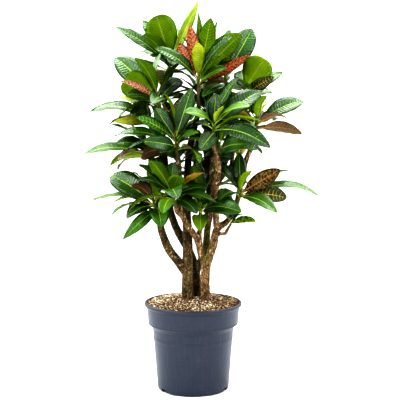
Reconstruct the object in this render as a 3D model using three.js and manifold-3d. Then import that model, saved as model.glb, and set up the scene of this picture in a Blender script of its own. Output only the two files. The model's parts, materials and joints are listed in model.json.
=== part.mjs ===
// Potted croton: three branching woody stems with leafy shoots, in a round nursery pot.
// Millimetres, +Z up. The origin is the middle of the pot's flat underside, and -Y is the front.
import * as THREE from 'three';
import { mergeVertices } from 'three/addons/utils/BufferGeometryUtils.js';
import Module from 'manifold-3d';

const wasm = await Module();
wasm.setup();

// Driving dimensions
const touchGap = 0.3;
const weldDistance = 0.001;
const smallestDetail = 0.1;

const pot = {
  height: 242,
  rimRadius: 135,
  lipHeight: 10,
  lipRound: 2.5,
  lipUndercut: 1,
  wall: 2,
  collarTopRadius: 128.5,
  collarFootRadius: 124.5,
  collarFootHeight: 186,
  collarFootEdge: 0.5,
  stepHeight: 166,
  stepRoundShare: 0.8,
  bodyTopRadius: 112,
  bodyFootRadius: 98.5,
  footRound: 3,
  floorThickness: 5.5,
  discRadius: 55,
  channelInner: 58,
  channelOuter: 84,
  channelDepth: 3,
  ribFoot: 139,
  ribSpacing: 5,
  ribCount: 2,
  ribDepth: 1,
  sides: 32,
};

const drainSlots = { count: 3, width: 18, height: 9, innerRadius: 90, outerRadius: 104, start: 96 };

const mix = {
  edgeHeight: 239.5,
  moundHeight: 14,
  chipRelief: 2.5,
  rings: 7,
  sides: 32,
};

// Each branch is a row of points on its centre line: x, y, z and radius. Each one ends under its shoot.
const stems = {
  left: [
    {
      shoot: 'top',
      points: [[-14, -5, 145, 17], [-15, -8, 250, 16.5], [-16, -12, 295, 15], [-15, -15, 345, 14.5],
        [-15, -15, 430, 13], [-18, -12, 510, 12], [-15, -5, 595, 10.5], [-10, 0, 660, 9], [6, 0, 730, 8]],
    },
    {
      shoot: 'left_low',
      points: [[-16, -15, 320, 12], [-42, -15, 358, 12], [-66, -15, 390, 11.5], [-86, -13, 440, 10],
        [-93, 3, 485, 8.5], [-98, 14, 535, 8]],
    },
    { shoot: 'low_left', points: [[-86, -15, 437, 8.5]] },
    { shoot: 'left_back', points: [[-97, 15, 540, 7], [-117, 38, 610, 7]] },
  ],
  back: [
    {
      shoot: 'left_top',
      points: [[14, 34, 145, 14], [10, 32, 250, 13.5], [5, 30, 325, 12.5], [-10, 35, 375, 11.5],
        [-30, 35, 410, 11], [-50, 35, 450, 10.5], [-65, 30, 500, 9.5], [-70, 30, 550, 9],
        [-75, 20, 605, 8.5], [-80, 0, 685, 7.5]],
    },
    { shoot: 'back_left_top', points: [[-75, 20, 600, 7.5], [-80, 48, 665, 7], [-93, 70, 740, 7]] },
    { shoot: 'back_mid', points: [[-64, 30, 497, 8], [-55, 75, 540, 7.5], [-45, 105, 570, 7]] },
    {
      shoot: 'right_top',
      points: [[5, 30, 315, 11], [20, 42, 345, 10.5], [35, 52, 390, 10], [40, 56, 440, 9.5],
        [45, 55, 520, 9], [80, 40, 605, 8], [118, 25, 695, 7.5]],
    },
    { shoot: 'back_low', points: [[40, 56, 438, 7.5], [40, 80, 475, 7]] },
    { shoot: 'back_high', points: [[45, 55, 518, 7.5], [40, 88, 595, 7], [35, 105, 655, 7]] },
    { shoot: 'back_right', points: [[60, 49, 555, 7], [88, 88, 590, 7]] },
  ],
  right: [
    {
      shoot: 'low_right',
      points: [[35, -6, 145, 14], [34, -8, 250, 13], [35, -10, 335, 12.5], [55, -10, 400, 11.5],
        [65, -15, 445, 10], [92, -6, 465, 8]],
    },
    { shoot: 'low_centre', points: [[35, -10, 335, 10], [20, -16, 385, 9.5], [16, -20, 425, 8]] },
    {
      shoot: 'left_front',
      points: [[19, -16, 388, 8.5], [8, -30, 425, 8.5], [-20, -52, 470, 8], [-35, -68, 510, 7.5],
        [-36, -70, 550, 7.5], [-36, -72, 595, 7.5]],
    },
    { shoot: 'low_front', points: [[-29, -61, 488, 7]] },
    {
      shoot: 'back_right_top',
      points: [[35, -9, 350, 8.5], [36, 2, 400, 8.5], [42, 8, 455, 8], [54, 6, 525, 8],
        [52, 15, 590, 7.5], [58, 35, 660, 7.5], [76, 70, 725, 7]],
    },
    {
      shoot: 'centre_low',
      points: [[65, -15, 443, 9], [62, -32, 485, 8.5], [60, -45, 545, 8], [66, -50, 585, 7.5]],
    },
    { shoot: 'centre_front', points: [[60, -45, 540, 7.5], [66, -72, 600, 7.5], [65, -92, 645, 7]] },
    {
      shoot: 'right_mid',
      points: [[98, -4, 470, 7.5], [122, 24, 520, 7.5], [134, 25, 585, 7.5], [146, 12, 635, 7]],
    },
    { shoot: 'low_sprig', points: [[62, -13, 428, 5.5], [76, -20, 434, 4.5]] },
  ],
};

const branchForm = {
  ringSpacing: 45,
  endLength: 14,
  endRadius: 6.5,
  thickRadius: 11,
  thickSides: 8,
  thinSides: 6,
};

// A shoot's green stem runs from its foot to its crown. The leaves that give the plant its outline are
// listed: heading and lift in degrees (0 is to the right, 90 away, 90 up), reach from the crown, width,
// and how many degrees the upper face is turned to the front. The others follow the growing rule below.
const shoots = [
  {
    name: 'top', foot: [15, 0, 780], crown: [15, -5, 855], open: [[200, 235], [285, 300]],
    leaves: [[269, 48, 128, 34, 0], [204, 80, 144, 36, 113], [145, 55, 115, 40, 60], [301, 68, 169, 50, -33],
      [325, 45, 155, 42, 60], [83, 80, 193, 22, 10], [210, 30, 155, 46, 50], [340, 20, 85, 30, 50],
      [7, 24, 157, 28, 88], [20, 44, 172, 76, -75], [48, 75, 186, 20, 43]],
  },
  {
    name: 'back_left_top', foot: [-98, 74, 805], crown: [-60, 60, 905], open: [[290, 320]],
    leaves: [[165, 30, 190, 32, 50], [150, 50, 145, 46, 40], [236, 60, 136, 88, -39],
      [7, 65, 180, 28, 86], [215, 10, 70, 36, 50]],
  },
  {
    name: 'left_top', foot: [-85, -10, 750], crown: [-95, -20, 810], open: [[290, 360]],
    leaves: [[154, 38, 164, 66, 60], [221, 23, 116, 76, -75], [70, 70, 130, 44, -50],
      [226, 15, 142, 24, 70], [225, 0, 110, 44, 45], [125, 50, 115, 26, 10], [145, -15, 100, 40, 30]],
  },
  {
    name: 'back_right_top', foot: [95, 90, 795], crown: [90, 80, 865], open: [[290, 360]],
    leaves: [[26, 57, 154, 66, 65], [80, 20, 120, 40, 0], [55, 70, 140, 46, 0]],
  },
  {
    name: 'right_top', foot: [145, 20, 765], crown: [140, 15, 830], open: [[30, 35], [195, 360]],
    leaves: [[320, 51, 102, 82, -58], [25, 25, 130, 40, 50], [324, 17, 98, 34, 101], [30, -10, 90, 38, 30],
      [230, 0, 60, 34, 30]],
  },
  {
    name: 'left_back', foot: [-115, 40, 710], crown: [-120, 35, 765], open: [[5, 65]],
    leaves: [[165, 0, 170, 46, 35], [165, 20, 105, 24, 20], [230, 5, 70, 46, -60], [200, -8, 82, 26, 40],
      [226, -11, 132, 30, 78]],
  },
  {
    name: 'left_front', foot: [-40, -80, 640], crown: [-45, -90, 700], open: [[245, 255]],
    leaves: [[216, -4, 102, 40, 84], [191, 55, 94, 42, 96], [325, 68, 139, 44, 123],
      [325, 10, 75, 34, 30], [70, 55, 145, 56, -40], [115, 55, 70, 26, 0], [211, 24, 128, 40, 50],
      [160, 0, 175, 46, 25], [210, -25, 110, 54, -70], [235, -25, 75, 36, 20]],
  },
  {
    name: 'left_low', foot: [-105, 20, 610], crown: [-115, 15, 665],
    leaves: [[170, -6, 195, 46, 30], [205, -20, 130, 40, -35], [165, -15, 130, 34, 0],
      [210, 10, 105, 48, 40]],
  },
  {
    name: 'centre_front', foot: [55, -100, 695], crown: [55, -110, 740],
    open: [[155, 165], [210, 216], [235, 300]],
    leaves: [[220, 15, 100, 46, 40], [290, 78, 75, 36, 159], [305, 45, 65, 20, 0], [320, 20, 125, 46, 30],
      [25, 30, 165, 56, 50], [234, -49, 93, 44, 42], [335, 0, 140, 34, -20], [337, -22, 168, 50, 50]],
  },
  {
    name: 'centre_low', foot: [70, -55, 625], crown: [70, -60, 675], open: [[0, 10], [270, 290]],
    leaves: [[315, 5, 100, 60, 60], [215, -10, 90, 42, 30], [135, -35, 80, 48, 30], [130, 35, 90, 44, -50],
      [50, 35, 65, 44, -50], [313, -40, 54, 38, 54]],
  },
  {
    name: 'right_mid', foot: [165, 0, 690], crown: [175, -5, 750], open: [[10, 20], [285, 350]],
    leaves: [[25, 17, 150, 50, 50], [40, 40, 80, 22, -30], [315, 0, 100, 46, -20], [350, -20, 128, 38, -60],
      [290, 50, 75, 42, 20]],
  },
  {
    name: 'low_left', foot: [-95, -15, 480], crown: [-110, -20, 535], open: [[240, 245]],
    leaves: [[155, 23, 140, 66, 60], [170, 0, 178, 34, 25], [210, -5, 120, 28, 0],
      [230, -27, 112, 46, 20], [135, -20, 100, 36, 20], [228, -43, 153, 34, 51],
      [280, -36, 124, 56, 0], [225, 30, 80, 44, -30], [260, 70, 100, 44, 20]],
  },
  {
    name: 'low_front', foot: [-45, -85, 515], crown: [-55, -95, 555], open: [[0, 10]],
    leaves: [[255, -30, 95, 42, 0], [335, -10, 130, 42, 20], [320, -30, 100, 42, 20], [80, 60, 90, 40, 0],
      [335, 30, 110, 32, -20], [325, 25, 70, 24, 20], [325, 40, 50, 14, 0], [30, 5, 110, 50, 30]],
  },
  {
    name: 'low_centre', foot: [20, -20, 465], crown: [20, -30, 505], open: [[315, 330]],
    leaves: [[320, 0, 140, 60, 40], [270, -30, 100, 44, 0], [65, 20, 80, 46, 20]],
  },
  {
    name: 'low_right', foot: [120, 0, 510], crown: [130, -5, 550], open: [[235, 245], [285, 350]],
    leaves: [[347, 29, 124, 46, 90], [10, -4, 220, 46, 20], [344, -8, 132, 54, 60],
      [320, -23, 132, 48, 30], [300, 50, 75, 40, 20], [110, 45, 70, 38, 0], [140, 50, 90, 44, 10]],
  },
  {
    name: 'low_sprig', foot: [94, -24, 446], crown: [105, -30, 466],
    leaves: [[335, 5, 70, 28, 40], [45, 25, 50, 20, 0], [150, 40, 50, 18, 0], [80, 10, 60, 22, 20]],
  },
  { name: 'back_high', foot: [35, 110, 710], crown: [40, 120, 780], leaves: [] },
  { name: 'back_mid', foot: [-40, 120, 610], crown: [-45, 130, 685], leaves: [] },
  { name: 'back_right', foot: [110, 110, 625], crown: [120, 125, 690], leaves: [] },
  { name: 'back_low', foot: [45, 95, 515], crown: [55, 110, 570], leaves: [] },
];

const shootStem = {
  footRadius: 5.5,
  crownRadius: 4,
  budRadius: 1.5,
  budLength: 12,
  sides: 6,
  leafSpread: 50,
  bareFoot: 12,
};

const sprig = { name: 'low_sprig', scale: 0.7 };

const leafForm = {
  stations: [0, 0.13, 0.38, 0.76, 1],
  stalkShare: 0.13,
  stalkHalfWidth: 1.8,
  stalkHalfThickness: 1.5,
  bladeHalfThickness: 0.7,
  thinningShare: 0.25,
  slimShift: 0.85,
  shiftByWidth: 0.55,
  slimTaper: 1.05,
  taperByWidth: 1.1,
  leastTaper: 0.5,
  mostTaper: 0.9,
  fold: 0.22,
  wavesOnBlade: 1.5,
  edgeDelay: 0.8,
  leastWave: 1,
  waveScatter: 2,
  twistScatter: 24,
  levelArch: 0.15,
  archBySteepness: 0.09,
  archScatter: 0.04,
};

const growing = {
  seed: 2024,
  leavesPerShoot: 17,
  fewestFree: 5,
  goldenAngle: 137.5,
  highestLift: 68,
  lowestLift: -25,
  liftScatter: 14,
  shortest: 95,
  longest: 165,
  endSize: 0.25,
  leastSize: 0.3,
  slimmest: 0.28,
  widthScatter: 0.1,
  turnScatter: 60,
  nudgeAngle: 6,
  nudgeShortening: 0.04,
  nudgeDirections: 8,
  nudgeRings: 6,
  clearance: 1.6,
  ownClearance: 0.5,
};

const degree = Math.PI / 180;
const xAxis = new THREE.Vector3(1, 0, 0);
const zAxis = new THREE.Vector3(0, 0, 1);
const front = new THREE.Vector3(0, -1, 0);

// Solids from closed geometry: corners are merged, and triangles that collapse are left out.
function toSolid(geometry) {
  const bare = geometry.clone();
  bare.deleteAttribute('normal');
  bare.deleteAttribute('uv');
  const merged = mergeVertices(bare, weldDistance);
  const corners = merged.index.array;
  const kept = [];
  for (let i = 0; i < corners.length; i += 3) {
    const [a, b, c] = corners.slice(i, i + 3);
    if (a !== b && b !== c && c !== a) kept.push(a, b, c);
  }
  const vertProperties = new Float32Array(merged.attributes.position.array);
  return new wasm.Manifold(new wasm.Mesh({ numProp: 3, vertProperties, triVerts: new Uint32Array(kept) }));
}

function toGeometry(solid) {
  const mesh = solid.getMesh();
  const geometry = new THREE.BufferGeometry();
  geometry.setAttribute('position', new THREE.BufferAttribute(new Float32Array(mesh.vertProperties), 3));
  geometry.setIndex(new THREE.BufferAttribute(new Uint32Array(mesh.triVerts), 1));
  geometry.computeVertexNormals();
  return geometry;
}

// A closed skin over a row of rings with the same number of points. The quads are split by turns,
// so that the two faces of a four-sided blade are split alike.
function skin(rings) {
  const around = rings[0].length;
  const index = [];
  for (let r = 0; r + 1 < rings.length; r++) {
    for (let k = 0; k < around; k++) {
      const next = (k + 1) % around;
      const a = r * around + k;
      const b = r * around + next;
      const c = (r + 1) * around + next;
      const d = (r + 1) * around + k;
      if (k % 2 === 0) index.push(a, b, d, b, c, d);
      else index.push(a, b, c, a, c, d);
    }
  }
  const last = (rings.length - 1) * around;
  for (let k = 1; k + 1 < around; k++) {
    index.push(0, k + 1, k);
    index.push(last, last + k, last + k + 1);
  }
  const geometry = new THREE.BufferGeometry().setFromPoints(rings.flat());
  geometry.setIndex(index);
  return geometry;
}

// One ring of points round a centre, square to a direction
function circle(centre, direction, across, radius, sides) {
  const other = new THREE.Vector3().crossVectors(direction, across);
  return Array.from({ length: sides }, (_, k) => {
    const angle = (2 * Math.PI * k) / sides;
    return centre.clone()
      .addScaledVector(across, radius * Math.cos(angle))
      .addScaledVector(other, radius * Math.sin(angle));
  });
}

function level(radius, height, sides, relief = () => 0) {
  return circle(new THREE.Vector3(0, 0, height), zAxis, xAxis, radius, sides)
    .map((point, k) => point.setZ(height + relief(k)));
}

// A seeded row of draws between 0 and 1
function drawer(seed) {
  let state = seed;
  return () => {
    state = (Math.imul(state, 1664525) + 1013904223) >>> 0;
    return state / 4294967296;
  };
}

// Pot
function potProfile() {
  const p = pot;
  const lipFoot = p.height - p.lipHeight;
  const slope = (p.bodyTopRadius - p.bodyFootRadius) / (p.stepHeight - p.footRound);
  const bodyRadius = (z) => p.bodyFootRadius + slope * (z - p.footRound);
  const outer = [
    [0, 0],
    [p.discRadius, 0],
    [p.channelInner, p.channelDepth],
    [p.channelOuter, p.channelDepth],
    [p.channelOuter + p.channelDepth, 0],
    [p.bodyFootRadius - p.footRound, 0],
    [p.bodyFootRadius, p.footRound],
  ];
  for (let k = 0; k <= 2 * p.ribCount; k++) {
    const z = p.ribFoot + (k * p.ribSpacing) / 2;
    outer.push([bodyRadius(z) + (k % 2) * p.ribDepth, z]);
  }
  const stepRise = p.collarFootHeight - p.stepHeight;
  const stepOut = p.collarFootRadius - p.bodyTopRadius;
  for (const t of [0, 0.5, 1]) {
    const radius = p.bodyTopRadius + stepOut * (1 - Math.cos((t * Math.PI) / 2));
    outer.push([radius, p.stepHeight + stepRise * t * p.stepRoundShare]);
  }
  outer.push(
    [p.collarFootRadius + p.collarFootEdge, p.collarFootHeight],
    [p.collarTopRadius, lipFoot],
    [p.rimRadius - p.lipRound, lipFoot - p.lipUndercut],
    [p.rimRadius, lipFoot + p.lipRound],
    [p.rimRadius, p.height - p.lipRound],
    [p.rimRadius - p.lipRound, p.height],
  );
  const inner = innerProfile(0);
  return [...outer, ...inner.reverse(), [0, p.floorThickness]].map(([r, z]) => new THREE.Vector2(r, z));
}

// The inside of the wall from the floor to the rim, moved in by a gap
function innerProfile(gap) {
  const p = pot;
  return [
    [p.bodyFootRadius - p.wall - gap, p.floorThickness + gap],
    [p.bodyTopRadius - p.wall - gap, p.stepHeight + gap],
    [p.collarFootRadius - p.wall - gap, p.collarFootHeight + gap],
    [p.collarTopRadius - p.wall - gap, p.height - p.lipHeight],
    [p.collarTopRadius - gap, p.height],
  ];
}

function makePot() {
  const lathe = new THREE.LatheGeometry(potProfile(), pot.sides).rotateX(Math.PI / 2);
  let body = toSolid(lathe);
  const depth = drainSlots.outerRadius - drainSlots.innerRadius;
  for (let k = 0; k < drainSlots.count; k++) {
    const slot = new THREE.BoxGeometry(depth, drainSlots.width, 2 * drainSlots.height)
      .translate(drainSlots.innerRadius + depth / 2, 0, 0)
      .rotateZ((drainSlots.start + (360 / drainSlots.count) * k) * degree);
    body = body.subtract(toSolid(slot));
  }
  return body;
}

// Potting mix: it fills the pot, and its top is a low mound of chips
function makeMix(holes) {
  const draw = drawer(growing.seed);
  const wall = innerProfile(touchGap);
  const edge = wall[3];
  const edgeRise = (mix.edgeHeight - edge[1]) / (wall[4][1] - edge[1]);
  const topRadius = edge[0] + (wall[4][0] - edge[0]) * edgeRise;
  const rings = wall.slice(0, 4).map(([radius, z]) => level(radius, z, mix.sides));
  rings.push(level(topRadius, mix.edgeHeight, mix.sides));
  for (let r = 1; r < mix.rings; r++) {
    const share = 1 - r / mix.rings;
    const height = mix.edgeHeight + mix.moundHeight * (1 - share * share);
    const relief = () => (2 * draw() - 1) * mix.chipRelief;
    rings.push(level(topRadius * share, height, mix.sides, relief));
  }
  rings.push(level(0, mix.edgeHeight + mix.moundHeight, mix.sides));
  return toSolid(skin(rings)).subtract(holes);
}

// Woody stems: round tubes that taper along smooth curves
function branchRings(branch, extra) {
  const points = branch.points.map(([x, y, z]) => new THREE.Vector3(x, y, z));
  const radii = branch.points.map(([, , , radius]) => radius + extra);
  const shoot = shoots.find(({ name }) => name === branch.shoot);
  const foot = new THREE.Vector3(...shoot.foot);
  const rise = new THREE.Vector3(...shoot.crown).sub(foot).normalize();
  const endRadius = branchForm.endRadius * (shoot.name === sprig.name ? sprig.scale : 1);
  points.push(foot.clone().addScaledVector(rise, -branchForm.endLength), foot);
  radii.push(endRadius + extra, endRadius + extra);
  const curve = new THREE.CatmullRomCurve3(points, false, 'catmullrom', 0.5);
  const sides = radii[0] > branchForm.thickRadius ? branchForm.thickSides : branchForm.thinSides;
  const rings = [];
  let across = xAxis;
  for (let s = 0; s + 1 < points.length; s++) {
    const steps = Math.max(1, Math.round(points[s].distanceTo(points[s + 1]) / branchForm.ringSpacing));
    const lastStep = s + 2 === points.length ? steps : steps - 1;
    for (let i = 0; i <= lastStep; i++) {
      const share = i / steps;
      const t = (s + share) / (points.length - 1);
      const direction = curve.getTangent(t);
      across = across.clone().addScaledVector(direction, -across.dot(direction)).normalize();
      const radius = THREE.MathUtils.lerp(radii[s], radii[s + 1], share);
      rings.push(circle(curve.getPoint(t), direction, across, radius, sides));
    }
  }
  return rings;
}

const woodTubes = Object.values(stems).flat().map((branch) => skin(branchRings(branch, 0)));

function makeStem(name) {
  return wasm.Manifold.union(stems[name].map((branch) => toSolid(skin(branchRings(branch, 0)))));
}

// The part of each stem under the surface, a little wider and deeper than the stem itself
function stemHoles() {
  return wasm.Manifold.union(Object.values(stems).map(([trunk]) => {
    const rings = branchRings(trunk, touchGap);
    rings[0].forEach((point) => point.setZ(point.z - touchGap));
    return toSolid(skin(rings));
  }));
}

// Green stem of one shoot, ending in a bud
function shootRings(shoot) {
  const foot = new THREE.Vector3(...shoot.foot);
  const crown = new THREE.Vector3(...shoot.crown);
  const rise = crown.clone().sub(foot).normalize();
  const across = xAxis.clone().addScaledVector(rise, -xAxis.dot(rise)).normalize();
  const scale = shoot.name === sprig.name ? sprig.scale : 1;
  const { footRadius, crownRadius, budRadius, budLength, sides } = shootStem;
  return [
    circle(foot.clone().addScaledVector(rise, touchGap), rise, across, footRadius * scale, sides),
    circle(crown, rise, across, crownRadius * scale, sides),
    circle(crown.clone().addScaledVector(rise, budLength * scale), rise, across, budRadius, sides),
  ];
}

// Leaves
function leafPlan(draw, shoot, row) {
  const [heading, lift, reach, width, turn] = row;
  const { levelArch, archBySteepness, archScatter, leastWave, waveScatter, twistScatter } = leafForm;
  return {
    shoot, heading, lift, reach, width, turn,
    arch: levelArch - archBySteepness * Math.sin(lift * degree) + archScatter * (draw() - 0.5),
    wave: leastWave + waveScatter * draw(),
    phase: 2 * Math.PI * draw(),
    twist: twistScatter * (draw() - 0.5),
  };
}

// The rule for the leaves that aren't listed: round the shoot by the golden angle, from steep to hanging
function ruleRow(draw, k, count) {
  const g = growing;
  const share = k / (count - 1);
  const heading = 360 * draw() * (k === 0 ? 1 : 0);
  const lift = THREE.MathUtils.lerp(g.highestLift, g.lowestLift, share) + g.liftScatter * (draw() - 0.5);
  const size = Math.sin(Math.PI * (g.endSize + (1 - 2 * g.endSize) * share));
  const drawnSize = g.leastSize + (1 - g.leastSize) * draw();
  const reach = THREE.MathUtils.lerp(g.shortest, g.longest, size * drawnSize);
  const width = reach * (g.slimmest + g.widthScatter * draw());
  const turn = g.turnScatter * (draw() - 0.5);
  return [heading, lift, reach, width, turn];
}

// The unlisted leaves stay out of a shoot's open sectors of headings
function inOpenSector({ shoot, heading }) {
  const sectors = shoot.open ?? [];
  return sectors.some(([from, to]) => heading % 360 > from && heading % 360 < to);
}

function leafPlans() {
  const draw = drawer(growing.seed + 1);
  const listed = shoots.flatMap((shoot) => shoot.leaves.map((row) => leafPlan(draw, shoot, row)));
  const free = shoots.flatMap((shoot) => {
    const wanted = Math.max(growing.fewestFree, growing.leavesPerShoot - shoot.leaves.length);
    const count = shoot.name === sprig.name ? 0 : wanted;
    let heading = 0;
    return Array.from({ length: count }, (_, k) => {
      const row = ruleRow(draw, k, count);
      heading += row[0] + growing.goldenAngle;
      return leafPlan(draw, shoot, [heading, ...row.slice(1)]);
    });
  });
  return [...listed, ...free.filter((plan) => !inOpenSector(plan))];
}

// Where a leaf stands when it is nudged aside by a heading, a lift and a share of its reach
function leafFrame(plan, [heading, lift, shortening]) {
  const azimuth = (plan.heading + heading) * degree;
  const rise = (plan.lift + lift) * degree;
  const reach = plan.reach * (1 - shortening);
  const crown = new THREE.Vector3(...plan.shoot.crown);
  const stemDown = new THREE.Vector3(...plan.shoot.foot).sub(crown);
  const spread = Math.min(shootStem.leafSpread, stemDown.length() - shootStem.bareFoot);
  const drop = spread * (0.5 - 0.5 * Math.sin(rise));
  const root = crown.clone().addScaledVector(stemDown.normalize(), drop);
  const tip = crown.clone().add(new THREE.Vector3(
    reach * Math.cos(rise) * Math.cos(azimuth),
    reach * Math.cos(rise) * Math.sin(azimuth),
    reach * Math.sin(rise),
  ));
  const chord = tip.sub(root);
  const length = chord.length();
  chord.normalize();
  const upward = zAxis.clone().addScaledVector(chord, -zAxis.dot(chord)).normalize();
  const sideways = new THREE.Vector3().crossVectors(chord, upward);
  const toFront = plan.turn * degree * (sideways.dot(front) < 0 ? -1 : 1);
  const normal = upward.clone()
    .multiplyScalar(Math.cos(toFront))
    .addScaledVector(sideways, Math.sin(toFront));
  return { root, chord, length, normal };
}

// What a leaf is at each of its stations: a waved blade, folded along its rib, on a short stalk
function leafStations(plan, frame) {
  const { root, chord, length, normal } = frame;
  const f = leafForm;
  const side = new THREE.Vector3().crossVectors(chord, normal);
  const arch = plan.arch * length;
  const drawnTaper = f.slimTaper - (f.taperByWidth * plan.width) / plan.reach;
  const taper = THREE.MathUtils.clamp(drawnTaper, f.leastTaper, f.mostTaper);
  const shift = f.slimShift + (f.shiftByWidth * plan.width) / plan.reach;
  return f.stations.map((t) => {
    const middle = root.clone()
      .addScaledVector(chord, length * t)
      .addScaledVector(normal, 4 * arch * t * (1 - t));
    const along = chord.clone()
      .multiplyScalar(length)
      .addScaledVector(normal, 4 * arch * (1 - 2 * t))
      .normalize();
    const up = new THREE.Vector3().crossVectors(side, along);
    const twist = plan.twist * degree * t;
    const across = side.clone().multiplyScalar(Math.cos(twist)).addScaledVector(up, Math.sin(twist));
    const face = up.clone().multiplyScalar(Math.cos(twist)).addScaledVector(side, -Math.sin(twist));
    const blade = Math.max(0, (t - f.stalkShare) / (1 - f.stalkShare));
    const thinning = Math.min(1, blade / f.thinningShare);
    const tip = t === 1;
    const bulge = Math.max(0, Math.sin(Math.PI * blade ** shift));
    const rounded = (plan.width / 2) * bulge ** taper;
    const halfWidth = tip ? 0 : Math.max(rounded, f.stalkHalfWidth * (1 - blade));
    const thickness = THREE.MathUtils.lerp(f.stalkHalfThickness, f.bladeHalfThickness, thinning);
    const halfThickness = tip ? 0 : thickness;
    const waveTurn = 2 * Math.PI * f.wavesOnBlade * t + plan.phase;
    const wave = (u) => plan.wave * Math.sin(waveTurn + f.edgeDelay * u);
    const edgeHeight = (u) => (tip ? 0 : thinning * (f.fold * halfWidth + wave(u)));
    const place = (u, height) => middle.clone().addScaledVector(across, u).addScaledVector(face, height);
    return { halfWidth, halfThickness, edgeHeight, place };
  });
}

// The leaf itself has four points at each station: its two edges and the two faces of its rib
function leafRings(plan, frame) {
  return leafStations(plan, frame).map(({ halfWidth, halfThickness, edgeHeight, place }) => [
    place(-halfWidth, edgeHeight(-1)),
    place(0, halfThickness),
    place(halfWidth, edgeHeight(1)),
    place(0, -halfThickness),
  ]);
}

// The space that a leaf keeps clear: its blade, wider and thicker by a clearance on every side
function spaceRings(plan, frame, clearance) {
  return leafStations(plan, frame).map(({ halfWidth, edgeHeight, place }) => {
    const reach = halfWidth + clearance;
    return [
      place(-reach, edgeHeight(-1) + clearance),
      place(0, clearance),
      place(reach, edgeHeight(1) + clearance),
      place(reach, edgeHeight(1) - clearance),
      place(0, -clearance),
      place(-reach, edgeHeight(-1) - clearance),
    ];
  });
}

// A plain net of triangles and edges, for finding where two skins meet
function net(geometry) {
  const at = geometry.attributes.position.array;
  const corners = geometry.index.array;
  const box = new THREE.Box3().setFromArray(at);
  const triangles = [];
  const edges = [];
  const point = (i) => [at[3 * i], at[3 * i + 1], at[3 * i + 2]];
  for (let i = 0; i < corners.length; i += 3) {
    const ring = [corners[i], corners[i + 1], corners[i + 2]];
    triangles.push(ring.map(point));
    ring.forEach((start, k) => {
      const end = ring[(k + 1) % 3];
      if (start < end) edges.push([point(start), point(end)]);
    });
  }
  return { box, triangles, edges };
}

// Six times the volume of the tetrahedron a, b, c, d
function volume(a, b, c, d) {
  const [ux, uy, uz] = [b[0] - a[0], b[1] - a[1], b[2] - a[2]];
  const [vx, vy, vz] = [c[0] - a[0], c[1] - a[1], c[2] - a[2]];
  const [wx, wy, wz] = [d[0] - a[0], d[1] - a[1], d[2] - a[2]];
  return ux * (vy * wz - vz * wy) + uy * (vz * wx - vx * wz) + uz * (vx * wy - vy * wx);
}

function pierces([p, q], [a, b, c]) {
  if (volume(a, b, c, p) * volume(a, b, c, q) > 0) return false;
  const first = volume(p, q, a, b);
  const second = volume(p, q, b, c);
  const third = volume(p, q, c, a);
  return (first > 0 && second > 0 && third > 0) || (first < 0 && second < 0 && third < 0);
}

function near(points, box) {
  for (let axis = 0; axis < 3; axis++) {
    const values = points.map((point) => point[axis]);
    const key = 'xyz'[axis];
    if (Math.max(...values) < box.min[key] || Math.min(...values) > box.max[key]) return false;
  }
  return true;
}

function meet(one, other) {
  if (!one.box.intersectsBox(other.box)) return false;
  const shared = one.box.clone().intersect(other.box);
  const crosses = (edges, triangles) => {
    const nearTriangles = triangles.filter((triangle) => near(triangle, shared));
    return edges.filter((edge) => near(edge, shared))
      .some((edge) => nearTriangles.some((triangle) => pierces(edge, triangle)));
  };
  return crosses(one.edges, other.triangles) || crosses(other.edges, one.triangles);
}

// Nudges in growing order: none, then wider and wider rings of directions
function nudges() {
  const list = [[0, 0, 0]];
  for (let ring = 1; ring <= growing.nudgeRings; ring++) {
    for (let k = 0; k < growing.nudgeDirections; k++) {
      const angle = (2 * Math.PI * k) / growing.nudgeDirections;
      const size = growing.nudgeAngle * ring;
      list.push([size * Math.cos(angle), size * Math.sin(angle), growing.nudgeShortening * ring]);
    }
  }
  return list;
}

// Each leaf takes the first place where it crosses no other shoot, stem or leaf, or else is left out.
function growLeaves() {
  const wood = woodTubes.map(net);
  const green = shoots.map((shoot) => ({ shoot, tube: net(skin(shootRings(shoot))) }));
  const grown = [];
  for (const plan of leafPlans()) {
    const others = green.filter(({ shoot }) => shoot !== plan.shoot).map(({ tube }) => tube);
    const fixed = [...wood, ...others];
    for (const nudge of nudges()) {
      const frame = leafFrame(plan, nudge);
      const whole = net(skin(spaceRings(plan, frame, growing.clearance)));
      const blade = net(skin(spaceRings(plan, frame, growing.ownClearance).slice(1)));
      const blocked = fixed.some((tube) => meet(whole, tube)) || grown.some((leaf) => (
        leaf.plan.shoot === plan.shoot ? meet(blade, leaf.blade) : meet(whole, leaf.whole)));
      if (!blocked) {
        const rings = leafRings(plan, frame);
        grown.push({ plan, rings, whole: net(skin(rings)), blade: net(skin(rings.slice(1))) });
        break;
      }
    }
  }
  return grown;
}

function makeShoot(shoot, grown) {
  const own = grown.filter(({ plan }) => plan.shoot === shoot);
  const leaves = own.map(({ rings }) => toSolid(skin(rings)));
  const joined = wasm.Manifold.union([toSolid(skin(shootRings(shoot))), ...leaves]);
  return joined.asOriginal().simplify(smallestDetail);
}

function finish(color, roughness, metalness = 0) {
  return new THREE.MeshStandardMaterial({ color, roughness, metalness });
}

function piece(name, solid, material) {
  const mesh = new THREE.Mesh(toGeometry(solid), material);
  mesh.name = name;
  return mesh;
}

const barkColors = { left: 0x5a4632, back: 0x3d3226, right: 0x9a7d5c };
const leafColors = { top: 0x4f7a2a, left_top: 0x5d7f26, low_right: 0x4d6b2c, low_front: 0x3f7a2c };
const plainLeafColor = 0x3c6a30;

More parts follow.
